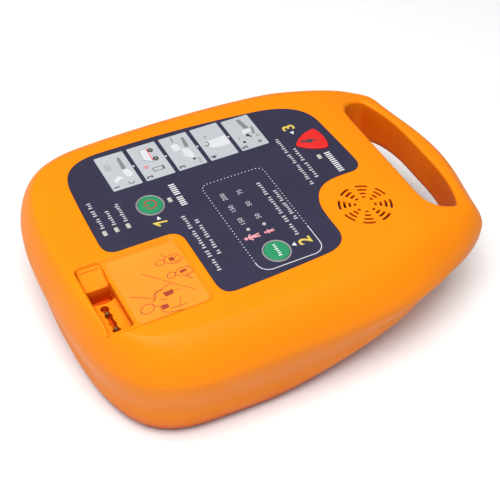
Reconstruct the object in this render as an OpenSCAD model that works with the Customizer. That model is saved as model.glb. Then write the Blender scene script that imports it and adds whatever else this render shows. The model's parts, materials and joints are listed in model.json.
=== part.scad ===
// Automated external defibrillator: moulded case with a carrying handle, keypad, loudspeaker,
// pads socket, battery and high-voltage electronics. Millimetres, +Z up, +Y towards the pads socket.

/* [Case] */
// Length of the case along Y
body_l = 303; // [300:1:308]
// Width of the case along X
body_w = 224; // [222:1:228]
// Height of the case from its base to the flat panel
body_h = 89; // [87:1:91]
// Wall thickness of both housings
wall = 2.6; // [2.2:0.1:3.0]
// Height of the seam above the underside
seam_h = 9; // [8:0.5:10]
// Height of the rubber feet
foot_h = 2.5; // [2:0.5:4]

/* [Handle] */
// Drop of the handle's top below the panel
handle_drop = 13; // [11:0.5:15]
// Rise of the handle's underside above the base
handle_rise = 49.5; // [47:0.5:51]
// Width of the handle opening
grip_w = 122; // [116:1:124]
// Edge of the handle opening nearest the panel
grip_y = -98; // [-100:0.5:-96]
// Edge of the handle opening nearest the grip bar
grip_bar_y = -131; // [-132.5:0.5:-129.5]

/* [Keys] */
// Radius of a round key
key_r = 8; // [7:0.5:8.5]
// Width of the grey ring round a key
key_ring_w = 1.4; // [1:0.1:1.8]
// Height of the keys above the keypad overlay
key_proud = 0.9; // [0.6:0.1:1.2]
// Clearance round each key
key_gap = 0.35; // [0.3:0.05:0.5]

/* [Pads tray] */
// Depth of the tray's floor below the panel
tray_depth = 2.2; // [1.5:0.1:3]
// Depth of the pit beside the socket, below the panel
trough_depth = 12; // [11:0.5:14]

/* [Loudspeaker] */
// Outer radius of the loudspeaker
speaker_r = 20; // [19:0.5:21]
// Width of one grille slot
slot_w = 1.6; // [1.2:0.1:2]

/* [Battery] */
// Battery pack size across the case
battery_w = 104; // [100:1:106]
// Battery pack size along the case
battery_l = 70; // [68:1:72]
// Battery pack height
battery_h = 29; // [27:0.5:30]

/* [Hidden] */

$fn = 48;
eps = 0.01;

base_z = foot_h;
top_z = base_z + body_h;
sx = body_w / 225.2;
sy = body_l / 303;

// Half of the case outline at its widest line, as Bezier segments from the socket end to the grip.
// Each entry is [start, control, control, end, steps].
OUTLINE = [[[0, 151.5], [54.5, 151.5], [104.5, 144.5], [110, 90], 10],
           [[110, 90], [112.5, 65], [114.5, -8.5], [108, -56.5], 6],
           [[108, -56.5], [105.5, -74], [98, -91], [90.8, -107.5], 5],
           [[90.8, -107.5], [87, -115.5], [82, -123.5], [76.5, -131.5], 2],
           [[76.5, -131.5], [74, -136], [69, -139.5], [63.5, -140.5], 4],
           [[63.5, -140.5], [43.5, -143.5], [25, -151.5], [0, -151.5], 7]];

// Shoulder between panel and side: how far it reaches inwards and down, at the sides, end and grip
side_inset = 24;
end_inset = 10;
grip_inset = 12;
side_drop = 29;
grip_round_drop = 14;
shoulder_power = 1.55;
shoulder_steps = 7;
end_facing_power = 2;
// Rounding between side and underside
base_inset = 11;
base_inset_grip = 7;
base_taper = 26;
base_round = 22;
base_round_grip = 10;
side_draft = 8;
base_steps = 4;
// Where the flat panel ends, and where the underside starts and stops rising towards the grip
panel_end_y = -76;
rise_start_y = 30;
rise_end_y = -140;
rise_power = 1.7;

seam_gap = 0.1;
gasket_w = 1.6;
gasket_h = 2;
gasket_off = wall + 0.15;

overlay_t = 0.5;
overlay_z = top_z - overlay_t;
label_t = 0.3;

power_key = [17.9, 70.3];
energy_key = [-53.5, 16];
shock_apex_y = -44.5;
shock_base_y = -65;
shock_x = 29;
shock_half = 11;
shock_round = 2.2;
shock_stem_y = -58;
key_flange_t = 1.5;
key_flange_w = 1.2;
status_windows = [[6.8, 106.7], [6.8, 98.7], [6.8, 90.6], [17.2, 56.6], [12.4, -54]];
window_size = [4.4, 2.8];
dot_windows = [[-28.8, 23.2], [-28.8, 11.6]];
dot_r = 1.3;

tray_x = [-71.5, -14];
tray_y = [68.5, 136];
tray_corner = 5;
tray_floor_z = top_z - tray_depth;
trough_x = [-67.5, -30];
trough_y = [119.8, 136];
trough_floor_z = top_z - trough_depth;
socket_x = [-66.8, -39];
socket_y = [120.6, 135.2];
socket_top_z = top_z - 6.8;
socket_floor_t = 1.2;
socket_slot = [[-65.2, 126.6], [-43.2, 131.6]];
socket_key = [[-58, 124], [-50, 127.2]];
pit_r = 6.5;
contact_offset = 6.5;
ramp_top_x = -16;

speaker_at = [-41.2, -57.5];
slot_radii = [6.9, 10.4, 13.9, 17.4];
slot_half_angle = 10.5;
slot_groups = 8;

board_t = 1.6;
keypad_board_z = 80;
main_board_z = 64;
hv_board_z = 40;
hv_board_half_x = 52;
hv_board_y = [-30, 118];
main_board_half_x = 62;
main_board_y = [-78, 50];

battery_y0 = 50;
bay_gap = 0.6;
bay_wall = 2.2;
battery_z0 = base_z + 0.3;
bay_top_z = battery_z0 + battery_h + 3.2;
cell_r = 8.4;
cell_l = 31;
cell_count = 5;
terminal_x = [-12, -4, 4, 12];

foot_r = 7;
feet_at = [[62, 118], [62, 8], [-62, 118], [-62, 8]];
case_screws_at = [[76, 112], [84, 28], [58, -88], [-76, 112], [-84, 28], [-58, -88]];
post_r = 4.5;
screw_r = 1.45;
screw_head_r = 2.8;
screw_head_h = 2.4;
insert_r = 2.6;
insert_l = 6;
main_posts = [[57, -70], [57, 44], [-57, -70], [-57, 44]];
hv_posts = [[47, -25], [-47, -25], [47, 113], [-47, 113]];
key_posts = [[64, 100], [64, -66], [-58, 53], [-58, -27]];
standoff_r = 3;

capacitor_at = [0, 96, 60];
capacitor_r = 16;
capacitor_l = 82;
lead_r = 1.2;
lead_end = [-47, 104];
latch_x = 0;
latch_y = battery_y0 - 9;
latch_spring_x = 5;
spring_r = 1.4;
spring_z = base_z + 2.6;

// ---- case shape ---------------------------------------------------------------------------

function mix(a, b, t) = a + (b - a) * t;
function smooth(t) = let (c = max(0, min(1, t))) c * c * (3 - 2 * c);
function bezier(s, t) =
    pow(1 - t, 3) * s[0] + 3 * pow(1 - t, 2) * t * s[1] + 3 * (1 - t) * t * t * s[2] + pow(t, 3) * s[3];

// Points of the right half outline, both ends on the centre line
half_outline = [for (s = OUTLINE) for (i = [0:s[4] - 1]) let (p = bezier(s, i / s[4])) [p[0] * sx, p[1] * sy],
                [0, -body_l / 2]];
half_n = len(half_outline);

function tangent(i) = let (
    a = i == 0 ? [-half_outline[1][0], half_outline[1][1]] : half_outline[i - 1],
    b = i == half_n - 1 ? [-half_outline[i - 1][0], half_outline[i - 1][1]] : half_outline[i + 1]
) (b - a) / norm(b - a);
// Unit vector pointing out of the outline
function outward(i) = let (t = tangent(i)) [-t[1], t[0]];

// 0 on the body and 1 on the grip
function grip_share(y) = smooth((y + 80) / -55);
function panel_height(y) = top_z - handle_drop * smooth((y - panel_end_y) / (-150 - panel_end_y));
function under_height(y) =
    base_z + handle_rise * pow(max(0, min(1, (rise_start_y - y) / (rise_start_y - rise_end_y))), rise_power);
// Underside of a case screw's head, sunk below the slope of the base
function screw_head_z(p) = under_height(p[1] - screw_head_r) + 0.5;

function shoulder_inset(i) = let (facing = pow(max(0, outward(i)[1]), end_facing_power))
    mix(mix(side_inset, end_inset, facing), grip_inset, grip_share(half_outline[i][1]));
function base_inset_at(i) = let (y = half_outline[i][1])
    mix(base_inset + base_taper * smooth((45 - y) / 110), base_inset_grip, smooth((y + 95) / -40));
function draft_at(i) = side_draft * (1 - grip_share(half_outline[i][1]));

// One point of a ring: outline point i moved inwards, at a height given by a function value
function moved(i, inset) = half_outline[i] - outward(i) * inset;

function shoulder_ring(step, steps, off) = [for (i = [0:half_n - 1]) let (
    a = 90 * step / steps,
    r = pow(pow(cos(a), shoulder_power) + pow(sin(a), shoulder_power), -1 / shoulder_power),
    p = moved(i, shoulder_inset(i) * (1 - r * sin(a)) + off),
    drop = mix(side_drop, grip_round_drop, grip_share(half_outline[i][1])) * (1 - r * cos(a))
) [i == 0 || i == half_n - 1 ? 0 : p[0], p[1], panel_height(p[1]) - drop - off]];

// Ring on the lower rounding, at angle a from the underside (0) to the side wall (90)
function base_ring(a, off) = [for (i = [0:half_n - 1]) let (
    p = moved(i, draft_at(i) + base_inset_at(i) * (1 - sin(a)) + off),
    rise = mix(base_round, base_round_grip, grip_share(half_outline[i][1])) * (1 - cos(a))
) [i == 0 || i == half_n - 1 ? 0 : p[0], p[1], under_height(p[1]) + rise + off]];

// Ring along the seam, moved up by dz
function seam_ring(off, dz) = [for (i = [0:half_n - 1]) let (
    full = mix(base_round, base_round_grip, grip_share(half_outline[i][1])),
    c = max(0, 1 - seam_h / full),
    p = moved(i, draft_at(i) + base_inset_at(i) * (1 - sqrt(1 - c * c)) + off)
) [i == 0 || i == half_n - 1 ? 0 : p[0], p[1], seam_height(p[1]) + dz]];
function seam_height(y) = under_height(y) + seam_h;

function full_ring(half) = concat(half, [for (i = [half_n - 2:-1:1]) [-half[i][0], half[i][1], half[i][2]]]);

// Closed solid through half rings, listed from the lowest to the highest
module loft(halves) {
    n = 2 * half_n - 2;
    count = len(halves);
    points = [for (h = halves) for (p = full_ring(h)) p];
    sides = [for (k = [0:count - 2]) for (i = [0:n - 1]) let (
        j = (i + 1) % n, a = k * n, b = a + n
    ) each [[a + i, a + j, b + j], [a + i, b + j, b + i]]];
    top = (count - 1) * n;
    caps = [for (i = [0:half_n - 2]) let (j = i + 1, mi = (n - i) % n, mj = n - j) each concat(
        mj == j ? [] : [[i, mj, j], [top + i, top + j, top + mj]],
        mi == i ? [] : [[i, mi, mj], [top + i, top + mj, top + mi]]
    )];
    polyhedron(points = points, faces = concat(sides, caps), convexity = 6);
}

function upper_rings(off, dz, steps) = concat(
    [seam_ring(off, dz)], [base_ring(90, off)],
    [for (k = [steps:-1:0]) shoulder_ring(k, steps, off)]);
function lower_rings(off, dz) = concat(
    [for (k = [0:base_steps - 2]) base_ring(k * seam_angle / (base_steps - 1), off)],
    [seam_ring(off, dz)]);
// Angle of the lower rounding that stays below the seam along the whole case
seam_angle = 34;

module upper_solid() { loft(upper_rings(0, seam_gap / 2, shoulder_steps)); }
module upper_void() { loft(upper_rings(wall, -1, 4)); }
module lower_solid() { loft(lower_rings(0, -seam_gap / 2)); }
module lower_void() { loft(lower_rings(wall, 1)); }

// Outline of the handle opening, grown outwards by g
module grip_outline(g) {
    w = grip_w / 2 + g;
    far = grip_y + g;
    near = grip_bar_y - g;
    corner = [[w - 18, far], [w - 8, far], [w - 3, far - 4], [w - 1, far - 11]];
    bar = [[w, near + 11.5], [w - 22, near - 1], [w / 3, near], [0, near]];
    side = concat([for (t = [0:0.2:1]) bezier(corner, t)], [for (t = [0:0.125:1]) bezier(bar, t)]);
    polygon(concat(side, [for (i = [len(side) - 2:-1:0]) [-side[i][0], side[i][1]]]));
}
module grip_prism(g) { translate([0, 0, -5]) linear_extrude(top_z + 10) grip_outline(g); }

module rounded_rect(x, y, r) {
    translate([x[0] + r, y[0] + r]) circle(r);
    translate([x[1] - r, y[0] + r]) circle(r);
    translate([x[0] + r, y[1] - r]) circle(r);
    translate([x[1] - r, y[1] - r]) circle(r);
    translate([x[0] + r, y[0]]) square([x[1] - x[0] - 2 * r, y[1] - y[0]]);
    translate([x[0], y[0] + r]) square([x[1] - x[0], y[1] - y[0] - 2 * r]);
}

module box(low, high) { translate(low) cube(high - low); }
module post(at, z0, z1, r) { translate([at[0], at[1], z0]) cylinder(r = r, h = z1 - z0); }

// Three-sided shock key outline with round corners, grown by g
module shock_outline(g) {
    r = shock_round;
    corners = [[shock_x, shock_apex_y - 2 * r], [shock_x + shock_half - r, shock_base_y + r],
               [shock_x - shock_half + r, shock_base_y + r]];
    hull() for (c = corners) translate(c) circle(r + g);
}

// ---- overlay --------------------------------------------------------------------------------

OVERLAY = [[[-71.6, 54], [-71.6, 40], [-70.3, 5], [-68.8, -10], 4],
           [[-68.8, -10], [-67.3, -22], [-60.8, -26], [-52.8, -26.2], 5],
           [[-52.8, -26.2], [-32.8, -26.6], [-28.8, -27], [-19.8, -34], 6],
           [[-19.8, -34], [-9.8, -42], [-9.8, -51], [-9.8, -66], 5],
           [[-9.8, -66], [-9.8, -72], [-5.8, -75.5], [0.2, -75.2], 4],
           [[0.2, -75.2], [21.2, -74.4], [33.2, -73.4], [45.2, -72.8], 2],
           [[45.2, -72.8], [64.2, -71.5], [71.7, -56], [74.2, -32], 8],
           [[74.2, -32], [78.7, 8], [80, 40], [79.2, 82], 5],
           [[79.2, 82], [78.2, 102], [69.2, 110.5], [51.2, 111.6], 8],
           [[51.2, 111.6], [31.2, 113], [15.2, 113.5], [-0.8, 113.8], 2],
           [[-0.8, 113.8], [-7.3, 113.8], [-10.8, 111], [-10.8, 104], 5],
           [[-10.8, 104], [-10.8, 92], [-10.8, 84], [-10.8, 73], 1],
           [[-10.8, 73], [-10.8, 66], [-14.8, 63], [-20.8, 63], 5],
           [[-20.8, 63], [-34.8, 63], [-48.8, 63], [-60.8, 63], 1],
           [[-60.8, 63], [-67.8, 63], [-71.6, 60], [-71.6, 54], 5]];
module overlay_outline() {
    polygon([for (s = OVERLAY) for (i = [0:s[4] - 1]) bezier(s, i / s[4])]);
}

// Openings for keys and lights, through anything between z0 and z1
module key_cutters(z0, z1, grow) {
    post(power_key, z0, z1, key_r + grow);
    post(energy_key, z0, z1, key_r + grow);
    translate([0, 0, z0]) linear_extrude(z1 - z0) shock_outline(grow);
}
module light_cutters(z0, z1, grow) {
    for (w = status_windows)
        box([w[0] - window_size[0] / 2 - grow, w[1] - window_size[1] / 2 - grow, z0],
            [w[0] + window_size[0] / 2 + grow, w[1] + window_size[1] / 2 + grow, z1]);
    for (d = dot_windows) post(d, z0, z1, dot_r + grow);
}

// ---- housings -------------------------------------------------------------------------------

module speaker_slots() {
    for (g = [0:slot_groups - 1]) for (r = slot_radii)
        translate([speaker_at[0], speaker_at[1], top_z - wall - 1])
            rotate([0, 0, 22.5 + g * 360 / slot_groups - slot_half_angle])
                rotate_extrude(angle = 2 * slot_half_angle)
                    translate([r - slot_w / 2, 0]) square([slot_w, wall + 2]);
}

// Sloping floor from the tray down to the pit beside the socket
module tray_ramp() {
    translate([0, trough_y[1], 0]) rotate([90, 0, 0]) linear_extrude(trough_y[1] - trough_y[0])
        polygon([[trough_x[1] - eps, socket_top_z], [ramp_top_x, tray_floor_z],
                 [ramp_top_x, top_z + 1], [trough_x[1] - eps, top_z + 1]]);
}
module tray_cutter() {
    translate([0, 0, tray_floor_z]) linear_extrude(tray_depth + 1) rounded_rect(tray_x, tray_y, tray_corner);
    box([trough_x[0], trough_y[0], trough_floor_z], [trough_x[1], trough_y[1], top_z + 1]);
    tray_ramp();
}
// Walls that carry the tray and the trough under the panel
module tray_tub() {
    box([tray_x[0] - wall, tray_y[0] - wall, tray_floor_z - wall],
        [tray_x[1] + wall, tray_y[1] + wall, top_z - 1]);
    box([trough_x[0] - wall, trough_y[0] - wall, trough_floor_z - wall],
        [ramp_top_x, trough_y[1] + wall, top_z - 1]);
}

module top_posts() {
    for (p = case_screws_at)
        post(p, seam_height(p[1]) + seam_gap, panel_height(p[1]) - 1, post_r);
    for (p = key_posts) post(p, keypad_board_z + board_t, top_z - 1, standoff_r);
}

module top_housing() {
    color([1, 0.55, 0.08]) difference() {
        union() {
            difference() {
                upper_solid();
                upper_void();
            }
            intersection() {
                upper_solid();
                union() {
                    grip_prism(wall);
                    tray_tub();
                    top_posts();
                }
            }
        }
        grip_prism(0);
        tray_cutter();
        speaker_slots();
        translate([0, 0, overlay_z]) linear_extrude(overlay_t + 1) overlay_outline();
        key_cutters(top_z - wall - 1, top_z + 1, key_gap);
        light_cutters(top_z - wall - 1, top_z + 1, 0.1);
        for (p = case_screws_at) post(p, seam_height(p[1]) - 1, seam_height(p[1]) + 16, screw_r + 0.2);
        for (p = case_screws_at) post(p, seam_height(p[1]) - 1, seam_height(p[1]) + insert_l + 0.5, insert_r);
    }
}

// Battery bay: a five-sided box that opens through the underside
module bay(g, top) {
    w = battery_w / 2 + g;
    box([-w, battery_y0 - g, base_z - 1], [w, battery_y0 + battery_l + g, top]);
}
module bay_walls() {
    g = bay_gap + bay_wall;
    w = battery_w / 2 + g;
    box([-w, battery_y0 - g, base_z + 1], [w, battery_y0 + battery_l + g, bay_top_z + bay_wall]);
}
module latch_slot() {
    box([latch_x - 9.4, latch_y - 7.4, base_z - 1],
        [latch_x + 9.4, battery_y0 - bay_gap - bay_wall, base_z + 5.2]);
}
module bottom_posts() {
    for (p = case_screws_at) post(p, under_height(p[1]) + 1, seam_height(p[1]) - seam_gap, post_r);
    for (p = main_posts) post(p, under_height(p[1]) + 1, main_board_z, standoff_r);
    for (p = hv_posts)
        post(p, p[1] > battery_y0 ? bay_top_z : under_height(p[1]) + 1, hv_board_z, standoff_r);
}
module bottom_housing() {
    color([0.98, 0.52, 0.07]) difference() {
        union() {
            difference() {
                lower_solid();
                lower_void();
            }
            intersection() {
                lower_solid();
                grip_prism(wall);
            }
            bay_walls();
            box([latch_x - 12, latch_y - 10, base_z + 1],
                [latch_x + 12, battery_y0 - bay_gap - 0.5, base_z + 7.4]);
            bottom_posts();
        }
        grip_prism(0);
        bay(bay_gap, bay_top_z);
        latch_slot();
        for (p = case_screws_at) {
            post(p, base_z - 2, seam_height(p[1]) + 2, screw_r + 0.2);
            post(p, base_z - 2, screw_head_z(p) + screw_head_h + 0.1, screw_head_r + 0.3);
        }
        for (f = feet_at) post(f, base_z - 1, base_z + 0.8, foot_r + 0.1);
    }
}

// Flat seal ring that lies on the lower housing's rim, inside the upper housing
module seam_gasket() {
    n = 2 * half_n - 2;
    edges = [[gasket_off, seam_gap], [gasket_off, gasket_h],
             [gasket_off + gasket_w, gasket_h], [gasket_off + gasket_w, seam_gap]];
    rings = [for (e = edges) full_ring(seam_ring(e[0], e[1]))];
    color([0.15, 0.15, 0.16]) polyhedron(
        points = [for (r = rings) for (p = r) p],
        faces = [for (k = [0:3]) for (i = [0:n - 1]) let (
            j = (i + 1) % n, a = k * n, b = ((k + 1) % 4) * n
        ) each [[a + i, a + j, b + j], [a + i, b + j, b + i]]],
        convexity = 6);
}

// ---- panel ----------------------------------------------------------------------------------

module keypad_overlay() {
    color([0.22, 0.21, 0.30]) difference() {
        translate([0, 0, overlay_z]) linear_extrude(overlay_t) overlay_outline();
        key_cutters(overlay_z - 1, top_z + 1, key_gap);
        light_cutters(overlay_z - 1, top_z + 1, 0.1);
    }
}

// Round key: domed cap, flange under the panel and a stem above the switch
module round_key(at) {
    panel_under = top_z - wall;
    translate([at[0], at[1], 0]) rotate_extrude() polygon([
        [0, panel_under - key_flange_t - 3], [2.5, panel_under - key_flange_t - 3],
        [2.5, panel_under - key_flange_t - 0.3], [key_r + key_flange_w, panel_under - key_flange_t - 0.3],
        [key_r + key_flange_w, panel_under - 0.3], [key_r, panel_under - 0.3],
        [key_r, top_z + key_proud - 0.6], [key_r - 0.25, top_z + key_proud - 0.2],
        [key_r - 0.8, top_z + key_proud], [0, top_z + key_proud]]);
}
module key_ring(at) {
    r0 = key_r + key_gap;
    translate([at[0], at[1], top_z]) rotate_extrude()
        polygon([[r0, 0], [r0 + key_ring_w, 0], [r0 + key_ring_w, 0.25],
                 [r0 + key_ring_w - 0.3, 0.5], [r0, 0.5]]);
}
module power_button() { color([0.20, 0.66, 0.43]) round_key(power_key); }
module power_button_ring() { color([0.6, 0.6, 0.6]) key_ring(power_key); }
module energy_button() { color([0.20, 0.66, 0.43]) round_key(energy_key); }
module energy_button_ring() { color([0.6, 0.6, 0.6]) key_ring(energy_key); }
module shock_button() {
    panel_under = top_z - wall;
    color([0.92, 0.22, 0.20]) {
        translate([0, 0, panel_under - 0.3]) linear_extrude(wall + key_proud + 0.3) shock_outline(0);
        translate([0, 0, panel_under - 0.3 - key_flange_t]) linear_extrude(key_flange_t + eps)
            shock_outline(key_flange_w);
        post([shock_x, shock_stem_y], panel_under - key_flange_t - 3, panel_under - key_flange_t, 2.5);
    }
}
module status_light_windows() { color([0.85, 0.86, 0.88]) light_cutters(overlay_z - 1.2, top_z + 0.05, 0); }
module pads_label() {
    color([1, 0.6, 0.15]) translate([0, 0, tray_floor_z]) linear_extrude(label_t)
        rounded_rect([tray_x[0] + 2, tray_x[1] - 2], [tray_y[0] + 2, trough_y[0] - 2], 5);
}

// ---- pads socket ----------------------------------------------------------------------------

module pads_socket() {
    slot_z = trough_floor_z + socket_floor_t;
    color([1, 0.58, 0.12]) difference() {
        box([socket_x[0], socket_y[0], trough_floor_z], [socket_x[1], socket_y[1], socket_top_z]);
        for (s = [socket_slot, socket_key])
            box([s[0][0], s[0][1], slot_z], [s[1][0], s[1][1], socket_top_z + 1]);
        post([socket_x[1] + pit_r / 2, (socket_y[0] + socket_y[1]) / 2], slot_z, socket_top_z + 1, pit_r);
    }
}
function contact_at(k) = [(socket_slot[0][0] + socket_slot[1][0]) / 2 + k * contact_offset,
                          (socket_slot[0][1] + socket_slot[1][1]) / 2];
module pads_contacts() {
    z = trough_floor_z + socket_floor_t;
    color([0.85, 0.7, 0.35]) for (k = [-1, 1]) post(contact_at(k), z, z + 2, 1.2);
}

// ---- loudspeaker ----------------------------------------------------------------------------

module at_speaker(z) { translate([speaker_at[0], speaker_at[1], z]) children(); }
speaker_face_z = top_z - wall - 0.1;
module speaker_gasket() {
    color([0.2, 0.2, 0.2]) at_speaker(speaker_face_z - 1) difference() {
        cylinder(r = speaker_r, h = 1);
        translate([0, 0, -1]) cylinder(r = speaker_r - 1.5, h = 3);
    }
}
module speaker_basket() {
    color([0.35, 0.36, 0.38]) at_speaker(speaker_face_z - 1) rotate_extrude() polygon([
        [speaker_r - 1.5, 0], [speaker_r, 0], [speaker_r, -1.5], [speaker_r - 3, -2], [12, -8], [12, -9.5],
        [7.2, -9.5], [7.2, -8.5], [11, -8.5], [11, -7.5], [speaker_r - 3.8, -1.8], [speaker_r - 1.5, -1.5]]);
}
module speaker_cone() {
    color([0.12, 0.12, 0.13]) at_speaker(speaker_face_z - 1) rotate_extrude() polygon([
        [0, -6.6], [5, -6.6], [speaker_r - 2, -0.9], [speaker_r - 2, -0.4], [5, -6], [4, -5.2], [0, -4.6]]);
}
module speaker_magnet() { color([0.5, 0.5, 0.52]) at_speaker(speaker_face_z - 18) cylinder(r = 11, h = 7.4); }

// ---- boards ---------------------------------------------------------------------------------

KEYPAD_BOARD = [[2, 104], [68, 104], [68, -72], [2, -72], [2, -31], [-62, -31], [-62, 58], [2, 58]];
module keypad_board() {
    color([0.1, 0.4, 0.2]) difference() {
        translate([0, 0, keypad_board_z]) linear_extrude(board_t) polygon(KEYPAD_BOARD);
        for (p = key_posts) post(p, keypad_board_z - 1, keypad_board_z + 3, 1.3);
    }
}
// Block of size w by l by h standing on a board at height z
module on_board(x, y, z, w, l, h) {
    box([x - w / 2, y - l / 2, z + board_t], [x + w / 2, y + l / 2, z + board_t + h]);
}
module tact_switches() {
    color([0.15, 0.15, 0.16]) for (p = [power_key, energy_key, [shock_x, shock_stem_y]]) {
        on_board(p[0], p[1], keypad_board_z, 6, 6, 0.8);
        post(p, keypad_board_z + board_t + 0.5, keypad_board_z + board_t + 1.5, 1.6);
    }
}
module status_leds() {
    color([0.95, 0.95, 0.8]) for (p = concat(status_windows, dot_windows))
        on_board(p[0], p[1], keypad_board_z, 2.4, 1.8, 1.2);
}
module main_board() {
    color([0.08, 0.36, 0.2]) difference() {
        translate([-main_board_half_x, main_board_y[0], main_board_z])
            cube([2 * main_board_half_x, main_board_y[1] - main_board_y[0], board_t]);
        for (p = main_posts) post(p, main_board_z - 1, main_board_z + 3, 1.3);
    }
}
module chip(x, y, w, l, h) { on_board(x, y, main_board_z, w, l, h); }
module processor_chips() {
    color([0.1, 0.1, 0.11]) {
        chip(10, -5, 20, 20, 1.6);
        chip(-25, 5, 14, 14, 1.4);
        chip(35, -35, 12, 18, 1.4);
        for (k = [0:3]) chip(-40 + k * 12, 32, 5, 8, 1.2);
    }
}
module board_connectors() {
    color([0.92, 0.9, 0.84]) {
        chip(40, 20, 26, 6, 6);
        chip(-10, -68, 12, 6, 6);
        chip(48, -10, 6, 16, 6);
    }
}
// Flat cable from the main board's connector up to the keypad board
module ribbon_cable() {
    z0 = main_board_z + board_t + 6;
    z1 = keypad_board_z;
    color([0.75, 0.76, 0.78]) box([30, 19.5, z0], [50, 20.5, z1]);
}
module high_voltage_board() {
    color([0.1, 0.32, 0.16]) difference() {
        translate([-hv_board_half_x, hv_board_y[0], hv_board_z])
            cube([2 * hv_board_half_x, hv_board_y[1] - hv_board_y[0], board_t]);
        for (p = hv_posts) post(p, hv_board_z - 1, hv_board_z + 3, 1.3);
    }
}
module storage_capacitor() {
    r = capacitor_r;
    l = capacitor_l;
    color([0.25, 0.3, 0.45]) translate([capacitor_at[0] - l / 2, capacitor_at[1], capacitor_at[2]])
        rotate([0, 90, 0]) rotate_extrude()
            polygon([[0, 0], [r - 1, 0], [r, 1], [r, 4], [r - 0.8, 5], [r, 6],
                     [r, l - 1], [r - 1, l], [0, l]]);
}
module capacitor_clamp() {
    clamp_r = capacitor_r + 1.7;
    color([0.7, 0.71, 0.73]) for (x = [-24, 24])
        translate([x - 5, capacitor_at[1], capacitor_at[2]]) difference() {
            union() {
                rotate([0, 90, 0]) cylinder(r = clamp_r, h = 10);
                box([0, -clamp_r, hv_board_z + board_t - capacitor_at[2]], [10, clamp_r, 0]);
            }
            translate([-1, 0, 0]) rotate([0, 90, 0]) cylinder(r = capacitor_r + 0.1, h = 12);
        }
}
module hv_part(x, y, w, l, h) { on_board(x, y, hv_board_z, w, l, h); }
module charge_transformer() {
    z = hv_board_z + board_t;
    color([0.85, 0.7, 0.25]) {
        hv_part(32, 40, 34, 8, 17);
        hv_part(32, 40, 8, 28, 17);
        post([32, 40], z, z + 16, 12);
    }
}
module heat_sink() {
    z = hv_board_z + board_t;
    color([0.75, 0.76, 0.78]) {
        hv_part(-28, 40, 40, 3, 18);
        for (k = [0:5]) box([-46 + k * 7, 41, z], [-44.5 + k * 7, 54, z + 18]);
    }
}
module power_transistors() {
    z = hv_board_z + board_t;
    color([0.12, 0.12, 0.13]) for (k = [0:2]) box([-45 + k * 13, 33.9, z + 1], [-37 + k * 13, 38.4, z + 15]);
}
module discharge_relay() { color([0.2, 0.35, 0.6]) hv_part(0, 2, 28, 16, 15); }

// Round lead swept along a curve in the upright plane from one point to another.
// The curve is a Bezier segment of [distance, height] pairs.
module lead(from, to, curve) {
    sides = 8;
    steps = 12;
    along = (to - from) / norm(to - from);
    across = [-along[1], along[0], 0];
    points = [for (i = [0:steps]) let (
        p = bezier(curve, i / steps),
        d = bezier(curve, (i + 0.01) / steps) - bezier(curve, (i - 0.01) / steps),
        up = [-d[1] * along[0], -d[1] * along[1], d[0]] / norm(d),
        centre = [from[0] + along[0] * p[0], from[1] + along[1] * p[0], p[1]]
    ) for (k = [0:sides - 1]) centre + lead_r * (cos(360 * k / sides) * across + sin(360 * k / sides) * up)];
    polyhedron(points = points, faces = concat(
        [[for (k = [0:sides - 1]) k]], [[for (k = [sides - 1:-1:0]) steps * sides + k]],
        [for (i = [0:steps - 1]) for (k = [0:sides - 1]) let (
            a = i * sides + k, b = i * sides + (k + 1) % sides
        ) each [[a, a + sides, b + sides], [a, b + sides, b]]]));
}
module high_voltage_leads() {
    z0 = trough_floor_z - wall - 0.3;
    z1 = hv_board_z + board_t + 0.1;
    color([0.8, 0.1, 0.1]) for (k = [-1, 1])
        let (from = contact_at(k), to = [lead_end[0] + k * 2, lead_end[1]], d = norm(to - from))
            lead(from, to, [[0, z0], [0, z0 - 22], [d, z1 + 22], [d, z1]]);
}

// ---- battery --------------------------------------------------------------------------------

module battery_pack() {
    w = battery_w / 2;
    z0 = battery_z0;
    z1 = battery_z0 + battery_h;
    color([0.2, 0.2, 0.22]) difference() {
        box([-w, battery_y0, z0], [w, battery_y0 + battery_l, z1]);
        box([-w + 2, battery_y0 + 2, z0 + 3], [w - 2, battery_y0 + battery_l - 2, z1 - 2]);
        box([-13, battery_y0 - 1, z0 - 1], [13, battery_y0 + 1.2, z0 + 4]);
        for (k = [0:3]) box([-30, battery_y0 + 20 + k * 9, z0 - 1], [30, battery_y0 + 22 + k * 9, z0 + 0.7]);
    }
}
module battery_cells() {
    pitch = (battery_w - 5) / cell_count;
    color([0.3, 0.5, 0.75]) for (i = [0:cell_count - 1], j = [0, 1])
        translate([(i - (cell_count - 1) / 2) * pitch, battery_y0 + 3.5 + j * (cell_l + 1), battery_z0 + 14])
            rotate([-90, 0, 0]) cylinder(r = cell_r, h = cell_l);
}
module battery_terminals() {
    z = battery_z0 + battery_h;
    color([0.85, 0.7, 0.3]) for (x = terminal_x)
        box([x - 2.5, battery_y0 + 40, z], [x + 2.5, battery_y0 + 50, z + 0.6]);
}
// Sprung contact blades under the bay's ceiling
module battery_contacts() {
    z = battery_z0 + battery_h + 0.9;
    color([0.8, 0.75, 0.6]) for (x = terminal_x) {
        box([x - 1.5, battery_y0 + 44, z], [x + 1.5, battery_y0 + 46, bay_top_z]);
        box([x - 1.5, battery_y0 + 41, z], [x + 1.5, battery_y0 + 49, z + 0.4]);
    }
}
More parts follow.
